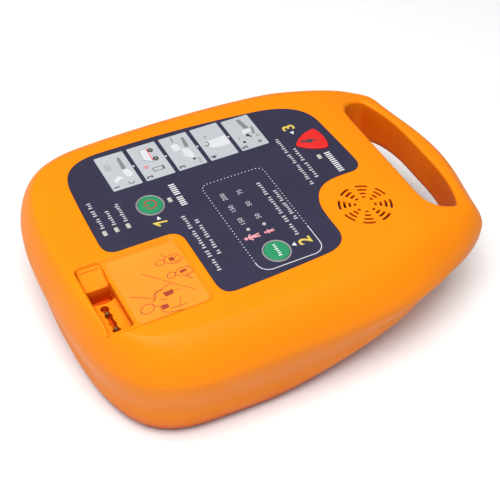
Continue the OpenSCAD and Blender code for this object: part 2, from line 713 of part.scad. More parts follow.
// Sliding latch with a pocket for each spring in its back
module battery_latch() {
    back = latch_y - 2.6;
    color([0.16, 0.16, 0.17]) {
        difference() {
            box([latch_x - 9, back, base_z + 0.2], [latch_x + 9, battery_y0 - 3.2, base_z + 4.9]);
            for (k = [-1, 1]) translate([latch_x + k * latch_spring_x, back - 1, spring_z])
                rotate([-90, 0, 0]) cylinder(r = spring_r + 0.35, h = 8);
        }
        for (k = [0:2]) box([latch_x - 7, latch_y + k * 2.4 - 1.5, base_z - 0.6],
                            [latch_x + 7, latch_y + k * 2.4 - 0.5, base_z + 0.2 + eps]);
    }
}
module latch_spring() {
    color([0.7, 0.7, 0.72]) for (k = [-1, 1])
        translate([latch_x + k * latch_spring_x, latch_y - 7.2, spring_z]) rotate([-90, 0, 0]) difference() {
            cylinder(r = spring_r, h = 6.4);
            translate([0, 0, -1]) cylinder(r = spring_r - 0.4, h = 9);
        }
}

// ---- feet, screws and small parts -----------------------------------------------------------

module rubber_feet() {
    color([0.14, 0.14, 0.15]) for (f = feet_at)
        translate([f[0], f[1], 0]) rotate_extrude()
            polygon([[0, 0], [foot_r - 0.8, 0], [foot_r, 0.8], [foot_r, base_z + 0.7], [0, base_z + 0.7]]);
}
module case_screws() {
    color([0.75, 0.75, 0.77]) for (p = case_screws_at) let (z = screw_head_z(p)) difference() {
        union() {
            post(p, z, z + screw_head_h, screw_head_r);
            post(p, z + screw_head_h - eps, seam_height(p[1]) + insert_l + 3, screw_r);
        }
        post(p, z - 1, z + 1.3, 1.25, $fn = 6);
    }
}
module board_screws() {
    color([0.75, 0.75, 0.77]) {
        for (p = main_posts) post(p, main_board_z + board_t, main_board_z + board_t + 1.8, 2.5);
        for (p = hv_posts) post(p, hv_board_z + board_t, hv_board_z + board_t + 1.8, 2.5);
        for (p = key_posts) post(p, keypad_board_z - 1.8, keypad_board_z, 2.5);
    }
}
module threaded_inserts() {
    color([0.8, 0.65, 0.3]) for (p = case_screws_at) difference() {
        post(p, seam_height(p[1]) + 0.3, seam_height(p[1]) + 0.3 + insert_l, insert_r - 0.02);
        post(p, seam_height(p[1]) - 1, seam_height(p[1]) + insert_l + 2, screw_r + 0.05);
    }
}
module microphone() { color([0.3, 0.3, 0.32]) post([-8, -68], main_board_z + 14, main_board_z + 18, 3); }
module rating_label() {
    color([0.9, 0.9, 0.9]) translate([0, 0, base_z - 0.2]) linear_extrude(0.2)
        rounded_rect([-40, 40], [2, 26], 3);
}

top_housing();
bottom_housing();
seam_gasket();
keypad_overlay();
power_button();
power_button_ring();
energy_button();
energy_button_ring();
shock_button();
status_light_windows();
pads_label();
pads_socket();
pads_contacts();
speaker_gasket();
speaker_basket();
speaker_cone();
speaker_magnet();
keypad_board();
tact_switches();
status_leds();
main_board();
processor_chips();
board_connectors();
ribbon_cable();
high_voltage_board();
storage_capacitor();
capacitor_clamp();
charge_transformer();
heat_sink();
power_transistors();
discharge_relay();
high_voltage_leads();
battery_pack();
battery_cells();
battery_terminals();
battery_contacts();
battery_latch();
latch_spring();
rubber_feet();
case_screws();
board_screws();
threaded_inserts();
microphone();
rating_label();
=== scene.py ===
"""Looks of a portable automated external defibrillator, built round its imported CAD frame.

Lengths are millimetres on the frame's own axes; they become metres where a mesh is made.
"""

import json
import math

import bmesh
import bpy
import numpy as np
from mathutils import Matrix, Vector
from mathutils.bvhtree import BVHTree


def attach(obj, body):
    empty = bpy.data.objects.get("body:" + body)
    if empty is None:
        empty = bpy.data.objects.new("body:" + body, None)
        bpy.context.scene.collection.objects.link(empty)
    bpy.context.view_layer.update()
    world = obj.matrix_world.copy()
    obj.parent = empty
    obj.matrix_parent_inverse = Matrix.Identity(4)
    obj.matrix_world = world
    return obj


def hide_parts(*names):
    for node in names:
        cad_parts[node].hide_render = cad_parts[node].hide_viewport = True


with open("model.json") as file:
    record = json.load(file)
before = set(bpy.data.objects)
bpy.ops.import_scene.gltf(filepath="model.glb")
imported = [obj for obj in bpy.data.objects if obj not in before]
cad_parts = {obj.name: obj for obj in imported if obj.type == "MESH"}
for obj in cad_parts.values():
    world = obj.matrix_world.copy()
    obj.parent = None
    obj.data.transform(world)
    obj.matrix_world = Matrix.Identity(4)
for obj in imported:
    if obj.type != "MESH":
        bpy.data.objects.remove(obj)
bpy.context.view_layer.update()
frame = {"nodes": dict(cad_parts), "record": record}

MM = 0.001

# ---- sizes shared with the CAD source ----

BODY_W = 224.0
BASE_Z, TOP_Z = 2.5, 91.5
WALL = 2.6
SEAM_H = 9.0
HANDLE_DROP, HANDLE_RISE = 13.0, 49.5
OUTLINE = [
    [(0, 151.5), (54.5, 151.5), (104.5, 144.5), (110, 90)],
    [(110, 90), (112.5, 65), (114.5, -8.5), (108, -56.5)],
    [(108, -56.5), (105.5, -74), (98, -91), (90.8, -107.5)],
    [(90.8, -107.5), (87, -115.5), (82, -123.5), (76.5, -131.5)],
    [(76.5, -131.5), (74, -136), (69, -139.5), (63.5, -140.5)],
    [(63.5, -140.5), (43.5, -143.5), (25, -151.5), (0, -151.5)],
]
WIDEST = 225.2
SIDE_INSET, END_INSET, GRIP_INSET = 24.0, 10.0, 12.0
SIDE_DROP, GRIP_DROP = 29.0, 14.0
SHOULDER_POWER = 1.55
BASE_INSET, BASE_INSET_GRIP, BASE_TAPER = 11.0, 7.0, 26.0
BASE_ROUND, BASE_ROUND_GRIP = 22.0, 10.0
SIDE_DRAFT = 8.0
PANEL_END_Y = -76.0
RISE_START_Y, RISE_END_Y, RISE_POWER = 30.0, -140.0, 1.7

OVERLAY = [
    [(-71.6, 54), (-71.6, 40), (-70.3, 5), (-68.8, -13)],
    [(-68.8, -13), (-67.3, -25), (-60.8, -29), (-52.8, -29)],
    [(-52.8, -29), (-35.8, -29), (-28.8, -28.5), (-19.8, -34.5)],
    [(-19.8, -34.5), (-9.8, -41.5), (-9.8, -51), (-9.8, -66)],
    [(-9.8, -66), (-9.8, -72), (-5.8, -75.5), (0.2, -75.2)],
    [(0.2, -75.2), (21.2, -74.4), (33.2, -73.4), (45.2, -72.8)],
    [(45.2, -72.8), (64.2, -71.5), (71.7, -56), (74.2, -32)],
    [(74.2, -32), (78.7, 8), (80, 40), (79.2, 82)],
    [(79.2, 82), (78.2, 102), (69.2, 110.5), (51.2, 111.6)],
    [(51.2, 111.6), (31.2, 113), (15.2, 113.5), (-0.8, 113.8)],
    [(-0.8, 113.8), (-7.3, 113.8), (-10.8, 111), (-10.8, 104)],
    [(-10.8, 104), (-10.8, 92), (-10.8, 84), (-10.8, 73)],
    [(-10.8, 73), (-10.8, 66), (-14.8, 63), (-20.8, 63)],
    [(-20.8, 63), (-34.8, 63), (-48.8, 63), (-60.8, 63)],
    [(-60.8, 63), (-67.8, 63), (-71.6, 60), (-71.6, 54)],
]
OVERLAY_T = 0.5
PRINT_T = 0.05
KEY_CLEARANCE = 0.3

POWER_KEY = (17.9, 70.3)
ENERGY_KEY = (-53.5, 16.0)
KEY_R = 8.2
SHOCK_CORNERS = [(29, -44.5), (40, -65), (18, -65)]
STATUS_WINDOWS = [(6.8, 106.7), (6.8, 98.7), (6.8, 90.6), (17.2, 56.6), (12.4, -54)]
WINDOW_SIZE = (4.4, 2.8)
DOT_WINDOWS = [(-28.8, 23.2), (-28.8, 11.6)]
DOT_R = 1.3

TRAY = (-71.5, -14.0, 68.5, 136.0)
TRAY_FLOOR = TOP_Z - 2.2
TROUGH = (-67.5, -14.5, 119.8, 136.0)
PIT_X = -30.0
PIT_FLOOR = TOP_Z - 12.0
DEEP_PIT_FLOOR = TOP_Z - 18.0
SOCKET_END_X = -39.0
SOCKET_TOP = TOP_Z - 6.8
WELL_FLOOR = TOP_Z - 14.0
SLOT_Y = 129.3
SLOT_LOBES = [(-63.5, 2.6), (-57.4, 2.3), (-51.2, 2.4), (-45.2, 2.7)]
SLOT_WAIST = 1.7

SPEAKER = (-41.2, -57.5)
SLOT_RADII = (6.9, 10.4, 13.9, 17.4)
SLOT_W = 1.6
SLOT_HALF_ANGLES = (4.5, 7.7, 10.0, 11.8)
SLOT_GROUPS = 8

GRIP_W, GRIP_Y, GRIP_BAR_Y = 122.0, -98.0, -131.0
BATTERY = (-52.0, 52.0, 50.0, 120.0)
BATTERY_H = 29.0
BAY_GAP, BAY_WALL = 0.6, 2.2
LATCH_Y = 41.0
FEET = [(62, 118), (62, 8), (-62, 118), (-62, 8)]
CASE_SCREWS = [(76, 112), (84, 28), (58, -88), (-76, 112), (-84, 28), (-58, -88)]
SCREW_HEAD_R, SCREW_POST_R = 2.8, 4.5

QUARTER = np.radians([0, 30, 60, 90])
KEY_QUARTER = np.radians([22, 45, 68, 90])


# ---- outlines and case shape ----

def mix(a, b, t):
    return a + (b - a) * t


def smoothstep(t):
    t = np.clip(t, 0, 1)
    return t * t * (3 - 2 * t)


def bezier(points, t):
    a, b, c, d = (np.array(p, float) for p in points)
    t = np.asarray(t, float)[:, None]
    return (1 - t) ** 3 * a + 3 * (1 - t) ** 2 * t * b + 3 * (1 - t) * t * t * c + t ** 3 * d


def resample(points, spacing, closed=True):
    """Points at even distances along a polyline."""
    points = np.vstack([points, points[:1]]) if closed else np.asarray(points)
    along = np.concatenate([[0], np.cumsum(np.linalg.norm(np.diff(points, axis=0), axis=1))])
    count = max(3, round(along[-1] / spacing))
    at = np.linspace(0, along[-1], count + 1)
    made = np.column_stack([np.interp(at, along, points[:, k]) for k in (0, 1)])
    return made[:-1] if closed else made


def curve(segments, spacing, closed=True):
    t = np.linspace(0, 1, 60)
    return resample(np.vstack([bezier(s, t)[:-1] for s in segments] + [[segments[-1][3]]]), spacing, closed)


def normals(outline):
    """Unit vectors that point out of a closed anticlockwise outline."""
    t = np.roll(outline, -1, axis=0) - np.roll(outline, 1, axis=0)
    t /= np.linalg.norm(t, axis=1)[:, None]
    return np.column_stack([t[:, 1], -t[:, 0]])


def area(outline):
    x, y = outline[:, 0], outline[:, 1]
    return 0.5 * np.sum(x * np.roll(y, -1) - np.roll(x, -1) * y)


def anticlockwise(outline):
    outline = np.asarray(outline, float)
    return outline if area(outline) > 0 else outline[::-1]


def grown(outline, distance):
    return outline + normals(outline) * distance


def smoothed(outline, rounds):
    for _ in range(rounds):
        outline = (np.roll(outline, 1, axis=0) + 2 * outline + np.roll(outline, -1, axis=0)) / 4
    return outline


def level_at(z):
    """Height function of a level surface."""
    return lambda outline: np.full(len(outline), z)


def with_z(outline, z):
    return np.column_stack([outline, np.broadcast_to(z, len(outline))])


def arc(centre, radius, start, end, count):
    a = np.radians(np.linspace(start, end, count))
    return np.column_stack([centre[0] + radius * np.cos(a), centre[1] + radius * np.sin(a)])


def circle(centre, radius, count=48):
    return arc(centre, radius, 0, 360, count + 1)[:-1]


def rounded_rect(x0, x1, y0, y1, r, spacing=1.5, steps=8):
    """Anticlockwise from the middle of the side at x1, so that points i and -i mirror each other in y."""
    corners = [(x1 - r, y1 - r), (x0 + r, y1 - r), (x0 + r, y0 + r), (x1 - r, y0 + r)]
    turns = [arc(c, r, 90 * k, 90 * k + 90, steps + 1) for k, c in enumerate(corners)]
    middle_right, middle_left = [(x1, (y0 + y1) / 2)], [(x0, (y0 + y1) / 2)]
    stops = [middle_right, *turns[:2], middle_left, *turns[2:], middle_right]
    points = []
    for here, there in zip(stops[:-1], stops[1:]):
        points += [tuple(p) for p in here]
        a, b = np.array(here[-1]), np.array(there[0])
        count = max(1, round(np.linalg.norm(b - a) / spacing))
        points += [tuple(a + (b - a) * k / count) for k in range(1, count)]
    return np.array(points)


def case_half():
    """Right half of the case outline, evenly spaced from the socket end to the grip."""
    scale = np.array([BODY_W / WIDEST, 1])
    points = curve(OUTLINE, 2.4, closed=False) * scale
    for _ in range(3):
        points[1:-1] = (points[:-2] + 2 * points[1:-1] + points[2:]) / 4
    return points


HALF = case_half()


def half_outward():
    before = np.vstack([[-HALF[1, 0], HALF[1, 1]], HALF[:-1]])
    after = np.vstack([HALF[1:], [-HALF[-2, 0], HALF[-2, 1]]])
    t = after - before
    t /= np.linalg.norm(t, axis=1)[:, None]
    return np.column_stack([-t[:, 1], t[:, 0]])


OUTWARD = half_outward()


def screw_head_z(p):
    """Underside of a case screw's head, sunk below the slope of the base."""
    return under_height(p[1] - SCREW_HEAD_R) + 0.5


def grip_share(y):
    return smoothstep((y + 80) / -55)


def panel_height(y):
    return TOP_Z - HANDLE_DROP * smoothstep((y - PANEL_END_Y) / (-150 - PANEL_END_Y))


def under_height(y):
    share = np.clip((RISE_START_Y - y) / (RISE_START_Y - RISE_END_Y), 0, 1)
    return BASE_Z + HANDLE_RISE * share ** RISE_POWER


GRIP_SHARE = grip_share(HALF[:, 1])
SHOULDER_INSET = mix(mix(SIDE_INSET, END_INSET, np.maximum(0, OUTWARD[:, 1]) ** 2), GRIP_INSET, GRIP_SHARE)
SHOULDER_DROP = mix(SIDE_DROP, GRIP_DROP, GRIP_SHARE)
BASE_INSETS = mix(BASE_INSET + BASE_TAPER * smoothstep((45 - HALF[:, 1]) / 110), BASE_INSET_GRIP,
                  smoothstep((HALF[:, 1] + 95) / -40))
BASE_RISE = mix(BASE_ROUND, BASE_ROUND_GRIP, GRIP_SHARE)
DRAFT = SIDE_DRAFT * (1 - GRIP_SHARE)
SEAM_ANGLE = np.arccos(1 - SEAM_H / BASE_RISE)


def half_ring(inset, height, lift=0.0):
    """Half ring at an inset from the outline, at height(y) + lift."""
    p = HALF - OUTWARD * np.broadcast_to(inset, len(HALF))[:, None]
    p[[0, -1], 0] = 0
    return np.column_stack([p, height(p[:, 1]) + lift])


def full_ring(half):
    mirrored = half[-2:0:-1] * [-1, 1, 1]
    return np.vstack([half, mirrored])


def shoulder_ring(angle, off=0.0):
    c, s = math.cos(angle), math.sin(angle)
    r = (c ** SHOULDER_POWER + s ** SHOULDER_POWER) ** (-1 / SHOULDER_POWER)
    return half_ring(SHOULDER_INSET * (1 - r * s) + off, panel_height, -SHOULDER_DROP * (1 - r * c) - off)


def base_ring(angle, off=0.0, lift=0.0):
    inset = DRAFT + BASE_INSETS * (1 - np.sin(angle)) + off
    return half_ring(inset, under_height, BASE_RISE * (1 - np.cos(angle)) + lift)


def wall_rings(count, off=0.0):
    """Side wall between the lower rounding and the shoulder, upright at both ends."""
    low, high = base_ring(np.pi / 2, off), shoulder_ring(math.pi / 2, off)
    rings = []
    for k in range(1, count):
        t = k / count
        ring = mix(low, high, t)
        ring[:, :2] = mix(low, high, smoothstep(t))[:, :2]
        rings.append(ring)
    return rings


def upper_rings(off=0.0, steps=20):
    quarter = np.pi / 2
    rings = [base_ring(mix(SEAM_ANGLE, quarter, k / 6), off) for k in range(7)]
    if off == 0:
        rings = [half_ring(DRAFT + BASE_INSETS * (1 - np.sin(SEAM_ANGLE)) + g, under_height, SEAM_H + z)
                 for g, z in ((1.0, 0.05), (0.45, 0.05), (0.12, 0.2))] + rings[1:]
    else:
        rings[0][:, 2] -= 1
    rings += wall_rings(8, off)
    return rings + [shoulder_ring(math.pi / 2 * k / steps, off) for k in range(steps, -1, -1)]


def lower_rings(off=0.0):
    if off:
        return [base_ring(SEAM_ANGLE * k / 4, off, off) for k in range(4)] + [base_ring(SEAM_ANGLE, off, 1)]
    rings = [base_ring(SEAM_ANGLE * k / 8) for k in range(8)]
    return rings + [half_ring(DRAFT + BASE_INSETS * (1 - np.sin(SEAM_ANGLE)) + g, under_height, SEAM_H + z)
                    for g, z in ((0.12, -0.2), (0.45, -0.05), (1.0, -0.05))]


# ---- meshes ----

def linked(name, data):
    """New object in the scene."""
    obj = bpy.data.objects.new(name, data)
    bpy.context.scene.collection.objects.link(obj)
    return obj


def mesh_object(name, points, faces):
    """Closed mesh from points in millimetres, with its faces turned outwards."""
    mesh = bpy.data.meshes.new(name)
    mesh.from_pydata([tuple(p) for p in np.asarray(points, float) * MM], [], faces)
    work = bmesh.new()
    work.from_mesh(mesh)
    bmesh.ops.recalc_face_normals(work, faces=work.faces)
    work.to_mesh(mesh)
    work.free()
    return linked(name, mesh)


def paired_cap(start, n):
    """Strips between each point of a ring and its mirror point."""
    faces = []
    for i in range(n // 2):
        ring = [i, i + 1, (n - i - 1) % n, (n - i) % n]
        faces.append([start + k for k in dict.fromkeys(ring)])
    return faces


def strip(a, b, n):
    """Faces between two rings of n points whose first points are a and b."""
    return [(a + i, a + (i + 1) % n, b + (i + 1) % n, b + i) for i in range(n)]


def loft(name, rings, paired=False):
    n = len(rings[0])
    faces = []
    for k in range(len(rings) - 1):
        faces += strip(k * n, (k + 1) * n, n)
    last = (len(rings) - 1) * n
    if paired:
        faces += paired_cap(0, n) + paired_cap(last, n)
    else:
        faces += [tuple(range(n)), tuple(range(last, last + n))]
    return mesh_object(name, np.vstack(rings), faces)


def prism(name, outline, z0, z1):
    return loft(name, [with_z(outline, z0), with_z(outline, z1)])


def plate(name, outline, z0, z1, edge):
    """Thin plate with a rounded upper edge."""
    rings = [with_z(outline, z0)]
    rings += [with_z(grown(outline, -edge * (1 - math.cos(a))), z1 - edge * (1 - math.sin(a)))
              for a in QUARTER]
    return loft(name, rings)


def lathe(name, at, profile, segments=72):
    """Solid turned about the upright axis at a point. Its profile starts and ends on the axis."""
    points, faces, rows = [], [], []
    for r, z in profile:
        if r < 1e-6:
            rows.append([len(points)])
            points.append((at[0], at[1], z))
        else:
            rows.append(list(range(len(points), len(points) + segments)))
            points += [tuple(p) for p in with_z(circle(at, r, segments), z)]
    for low, high in zip(rows[:-1], rows[1:]):
        for i in range(segments):
            j = (i + 1) % segments
            ring = [low[i % len(low)], low[j % len(low)], high[j % len(high)], high[i % len(high)]]
            corners = list(dict.fromkeys(ring))
            if len(corners) > 2:
                faces.append(corners)
    return mesh_object(name, points, faces)


def box(name, low, high):
    outline = np.array([(low[0], low[1]), (high[0], low[1]), (high[0], high[1]), (low[0], high[1])])
    return prism(name, outline, low[2], high[2])


def joined(name, objs):
    """One object from several separate ones."""
    work = bmesh.new()
    for obj in objs:
        work.from_mesh(obj.data)
        bpy.data.objects.remove(obj)
    mesh = bpy.data.meshes.new(name)
    work.to_mesh(mesh)
    work.free()
    return linked(name, mesh)


def settle(obj):
    """Applies an object's modifiers."""
    depsgraph = bpy.context.evaluated_depsgraph_get()
    mesh = bpy.data.meshes.new_from_object(obj.evaluated_get(depsgraph))
    obj.modifiers.clear()
    obj.data = mesh


def carve(obj, cutters, operation="DIFFERENCE"):
    for cutter in cutters:
        modifier = obj.modifiers.new("carve", "BOOLEAN")
        modifier.operation = operation
        modifier.solver = "MANIFOLD"
        modifier.object = cutter
    settle(obj)
    for cutter in cutters:
        bpy.data.objects.remove(cutter)


def probe(obj, from_above=True):
    """Function that gives the height of obj's surface at each point of an outline."""
    bpy.context.view_layer.update()
    tree = BVHTree.FromObject(obj, bpy.context.evaluated_depsgraph_get())
    start, way = (0.3, (0, 0, -1)) if from_above else (-0.1, (0, 0, 1))

    def heights(outline):
        hits = [tree.ray_cast(Vector((x * MM, y * MM, start)), way)[0] for x, y in outline]
        found = [h.z / MM for h in hits if h is not None]
        return np.array([h.z / MM if h is not None else min(found) for h in hits])
    return heights


RIM_ANGLES = np.radians([0, 16, 32, 48, 64, 80])


def rim_rings(outline, surface, radius, upwards=1):
    """Cutter rings that round a rim, from the wall out to just above the surface."""
    rings = []
    for a in RIM_ANGLES:
        ring = grown(outline, radius * (1 - math.cos(a)))
        rings.append(with_z(ring, surface(ring) - upwards * radius * (1 - math.sin(a))))
    a = RIM_ANGLES[-1]
    ring = grown(outline, radius * (1 - math.cos(a) + 0.5 * math.sin(a)))
    rings.append(with_z(ring, surface(ring) + upwards * radius * 0.09))
    return rings


def pocket(name, outline, floor, surface, rim, fillet=0.5, paired=False):
    """Cutter for a pocket with a filleted floor, given as one height or one per point, and a round rim."""
    floor = np.broadcast_to(floor, len(outline))
    rings = [with_z(grown(outline, -fillet * (1 - math.sin(a))), floor + fillet * (1 - math.cos(a)))
             for a in QUARTER]
    rings += rim_rings(outline, surface, rim)
    rings.append(with_z(rings[-1][:, :2], TOP_Z + 6))
    return loft(name, rings, paired)


def pocket_below(name, outline, surface, rim, z_low, z_top):
    """Cutter for a pocket in an underside, with a rounded rim."""
    rings = rim_rings(outline, surface, rim, -1)
    return loft(name, [with_z(rings[-1][:, :2], z_low)] + rings[::-1] + [with_z(outline, z_top)])


def soft_pocket(name, outline, floor, spread):
    """Cutter for a shallow pocket whose sides slope softly from the floor up to the level panel."""
    rings = []
    for t in np.linspace(0, 1, 13)[:-1]:
        rings.append(with_z(grown(outline, spread * (t - 0.5)), mix(floor, TOP_Z, smoothstep(t))))
    rings.append(with_z(grown(outline, spread * 0.5), TOP_Z + 0.1))
    rings.append(with_z(grown(outline, spread * 0.5), TOP_Z + 6))
    return loft(name, rings)


def smooth(obj, angle=32):
    obj.data.shade_smooth()
    obj.data.set_sharp_from_angle(angle=math.radians(angle))
    weighted = obj.modifiers.new("weighted", "WEIGHTED_NORMAL")
    weighted.keep_sharp = True
    settle(obj)


# ---- materials ----

class Nodes:
    """A material's node tree with short ways to add nodes."""

    def __init__(self, name, roughness, metallic=0.0, coat=0.0, coat_roughness=0.1, sheen=0.0):
        self.material = bpy.data.materials.new(name)
        self.material.use_nodes = True
        self.tree = self.material.node_tree
        self.shader = self.tree.nodes["Principled BSDF"]
        self.shader.inputs["Roughness"].default_value = roughness
        self.shader.inputs["Metallic"].default_value = metallic
        self.shader.inputs["Coat Weight"].default_value = coat
        self.shader.inputs["Coat Roughness"].default_value = coat_roughness
        self.shader.inputs["Sheen Weight"].default_value = sheen
        self.place = self.add("ShaderNodeTexCoord").outputs["Object"]

    def add(self, kind, **settings):
        node = self.tree.nodes.new(kind)
        for key, value in settings.items():
            setattr(node, key, value)
        return node

    def link(self, a, b):
        self.tree.links.new(a, b)

    def stretched(self, scale):
        node = self.add("ShaderNodeMapping")
        node.inputs["Scale"].default_value = scale
        self.link(self.place, node.inputs["Vector"])
        return node.outputs["Vector"]

    def noise(self, scale, detail=2.0, stretch=None):
        node = self.add("ShaderNodeTexNoise")
        node.inputs["Scale"].default_value = scale
        node.inputs["Detail"].default_value = detail
        self.link(self.stretched(stretch) if stretch else self.place, node.inputs["Vector"])
        return node.outputs["Fac"]

    def ramp(self, value, low, high, low_color, high_color):
        node = self.add("ShaderNodeValToRGB")
        ends = node.color_ramp.elements
        ends[0].position, ends[1].position = low, high
        ends[0].color, ends[1].color = (*low_color, 1), (*high_color, 1)
        self.link(value, node.inputs["Fac"])
        return node.outputs["Color"]

    def mixed(self, factor, a, b):
        node = self.add("ShaderNodeMix", data_type="RGBA")
        self.link(factor, node.inputs["Factor"])
        for key, value in (("A", a), ("B", b)):
            socket = [s for s in node.inputs if s.name == key and s.type == "RGBA"][0]
            if isinstance(value, tuple):
                socket.default_value = (*value, 1)
            else:
                self.link(value, socket)
        return [s for s in node.outputs if s.type == "RGBA"][0]

    def span(self, value, low, high, out_low, out_high):
        node = self.add("ShaderNodeMapRange")
        limits = {"From Min": low, "From Max": high, "To Min": out_low, "To Max": out_high}
        for key, number in limits.items():
            node.inputs[key].default_value = number
        self.link(value, node.inputs["Value"])
        return node.outputs["Result"]

    def bump(self, value, strength, distance, under=None):
        node = self.add("ShaderNodeBump")
        node.inputs["Strength"].default_value = strength
        node.inputs["Distance"].default_value = distance
        self.link(value, node.inputs["Height"])
        if under:
            self.link(under, node.inputs["Normal"])
        return node.outputs["Normal"]

    def finish(self, color, normal=None, roughness=None):
        self.link(color, self.shader.inputs["Base Color"])
        if normal:
            self.link(normal, self.shader.inputs["Normal"])
        if roughness:
            self.link(roughness, self.shader.inputs["Roughness"])
        return self.material


def shade(color, factor):
    return tuple(min(1.0, c * factor) for c in color)


def plastic(name, color, roughness, grain=0.04, coat=0.0, specular=0.5, painted_shade=None):
    """Moulded plastic: faint flow marks, a fine grain, lighter worn edges and, where a shade colour is
    given, painted shade mixed into hollows by ambient occlusion.
    """
    m = Nodes(name, roughness, coat=coat, coat_roughness=0.18)
    m.shader.inputs["Specular IOR Level"].default_value = specular
    flow = m.noise(14, 3, (1, 0.6, 1.4))
    body = m.ramp(flow, 0.3, 0.7, shade(color, 0.95), shade(color, 1.025))
    worn = m.span(m.add("ShaderNodeNewGeometry").outputs["Pointiness"], 0.53, 0.62, 0.0, 0.35)
    tone = m.mixed(worn, body, shade(tuple(c + 0.02 for c in color), 1.12))
    # Painted shade: ambient occlusion darkens hollows, creases and recesses toward the given shade colour.
    if painted_shade:
        shade_occlusion = m.add("ShaderNodeAmbientOcclusion", samples=6)
        shade_occlusion.inputs["Distance"].default_value = 0.05
        tone = m.mixed(m.span(shade_occlusion.outputs["AO"], 0.2, 0.75, 1.0, 0.0), tone, painted_shade)
    normal = m.bump(m.noise(1900, 2), grain, 0.0002)
    normal = m.bump(m.noise(60, 2), grain * 0.5, 0.0006, normal)
    rough = m.span(m.noise(45, 4), 0.3, 0.7, roughness - 0.05, roughness + 0.07)
    return m.finish(tone, normal, rough)


def film(name, color, roughness=0.42, coat=0.1):
    """Printed polyester: a very fine screen texture and faint roller banding."""
    m = Nodes(name, roughness, coat=coat, coat_roughness=0.3)
    m.shader.inputs["Specular IOR Level"].default_value = 0.18
    screen = m.noise(2600, 1)
    tone = m.ramp(m.noise(30, 3), 0.25, 0.75, shade(color, 0.93), shade(color, 1.05))
    rough = m.span(m.noise(90, 3), 0.3, 0.7, roughness - 0.04, roughness + 0.06)
    return m.finish(tone, m.bump(screen, 0.05, 0.0001), rough)


def ink(name, color):
    """Screen-printed ink with a slightly uneven lay."""
    m = Nodes(name, 0.5)
    tone = m.ramp(m.noise(900, 2), 0.2, 0.8, shade(color, 0.94), shade(color, 1.04))
    return m.finish(tone, m.bump(m.noise(3000, 1), 0.08, 0.0001))


def rubber(name, color):
    m = Nodes(name, 0.78, sheen=0.2)
    dust = m.ramp(m.noise(160, 5), 0.45, 0.8, color, shade(tuple(c + 0.02 for c in color), 1.5))
    return m.finish(dust, m.bump(m.noise(1400, 3), 0.3, 0.0003))


def metal(name, color, roughness, stretch=(1, 14, 1)):
    """Plated or drawn metal: lines along one way and a little tarnish."""
    m = Nodes(name, roughness, metallic=1.0)
    lines = m.noise(420, 3, stretch)
    tone = m.ramp(m.noise(35, 4), 0.35, 0.75, color, shade(color, 0.88))
    rough = m.span(lines, 0.3, 0.7, roughness - 0.06, roughness + 0.1)
    return m.finish(tone, m.bump(lines, 0.12, 0.0002), rough)


def circuit(name, color):
    """Green solder mask over copper tracks, with tinned pads."""
    m = Nodes(name, 0.35, coat=0.3)
    cells = m.add("ShaderNodeTexVoronoi", distance="CHEBYCHEV", feature="F1")
    cells.inputs["Scale"].default_value = 160
    m.link(m.place, cells.inputs["Vector"])
    pads = m.span(cells.outputs["Distance"], 0.1, 0.14, 1.0, 0.0)
    tracks = m.add("ShaderNodeTexBrick")
    tracks.inputs["Scale"].default_value = 90
    tracks.inputs["Mortar Size"].default_value = 0.03
    tracks.inputs["Color1"].default_value = (*color, 1)
    tracks.inputs["Color2"].default_value = (*shade(color, 0.86), 1)
    tracks.inputs["Mortar"].default_value = (*shade(color, 1.7), 1)
    m.link(m.place, tracks.inputs["Vector"])
    tone = m.mixed(pads, tracks.outputs["Color"], (0.62, 0.58, 0.45))
    return m.finish(tone, m.bump(pads, 0.2, 0.0002))


def wound(name, color, roughness=0.3, scale=900):
    """Windings, ribbon strands or drawn wire: fine parallel turns."""
    m = Nodes(name, roughness, coat=0.4)
    turns = m.add("ShaderNodeTexWave", wave_type="BANDS", bands_direction="Z")
    turns.inputs["Scale"].default_value = scale
    turns.inputs["Distortion"].default_value = 0.4
    m.link(m.place, turns.inputs["Vector"])
    tone = m.ramp(turns.outputs["Fac"], 0.1, 0.7, shade(color, 0.45), color)
    return m.finish(tone, m.bump(turns.outputs["Fac"], 0.5, 0.0004))
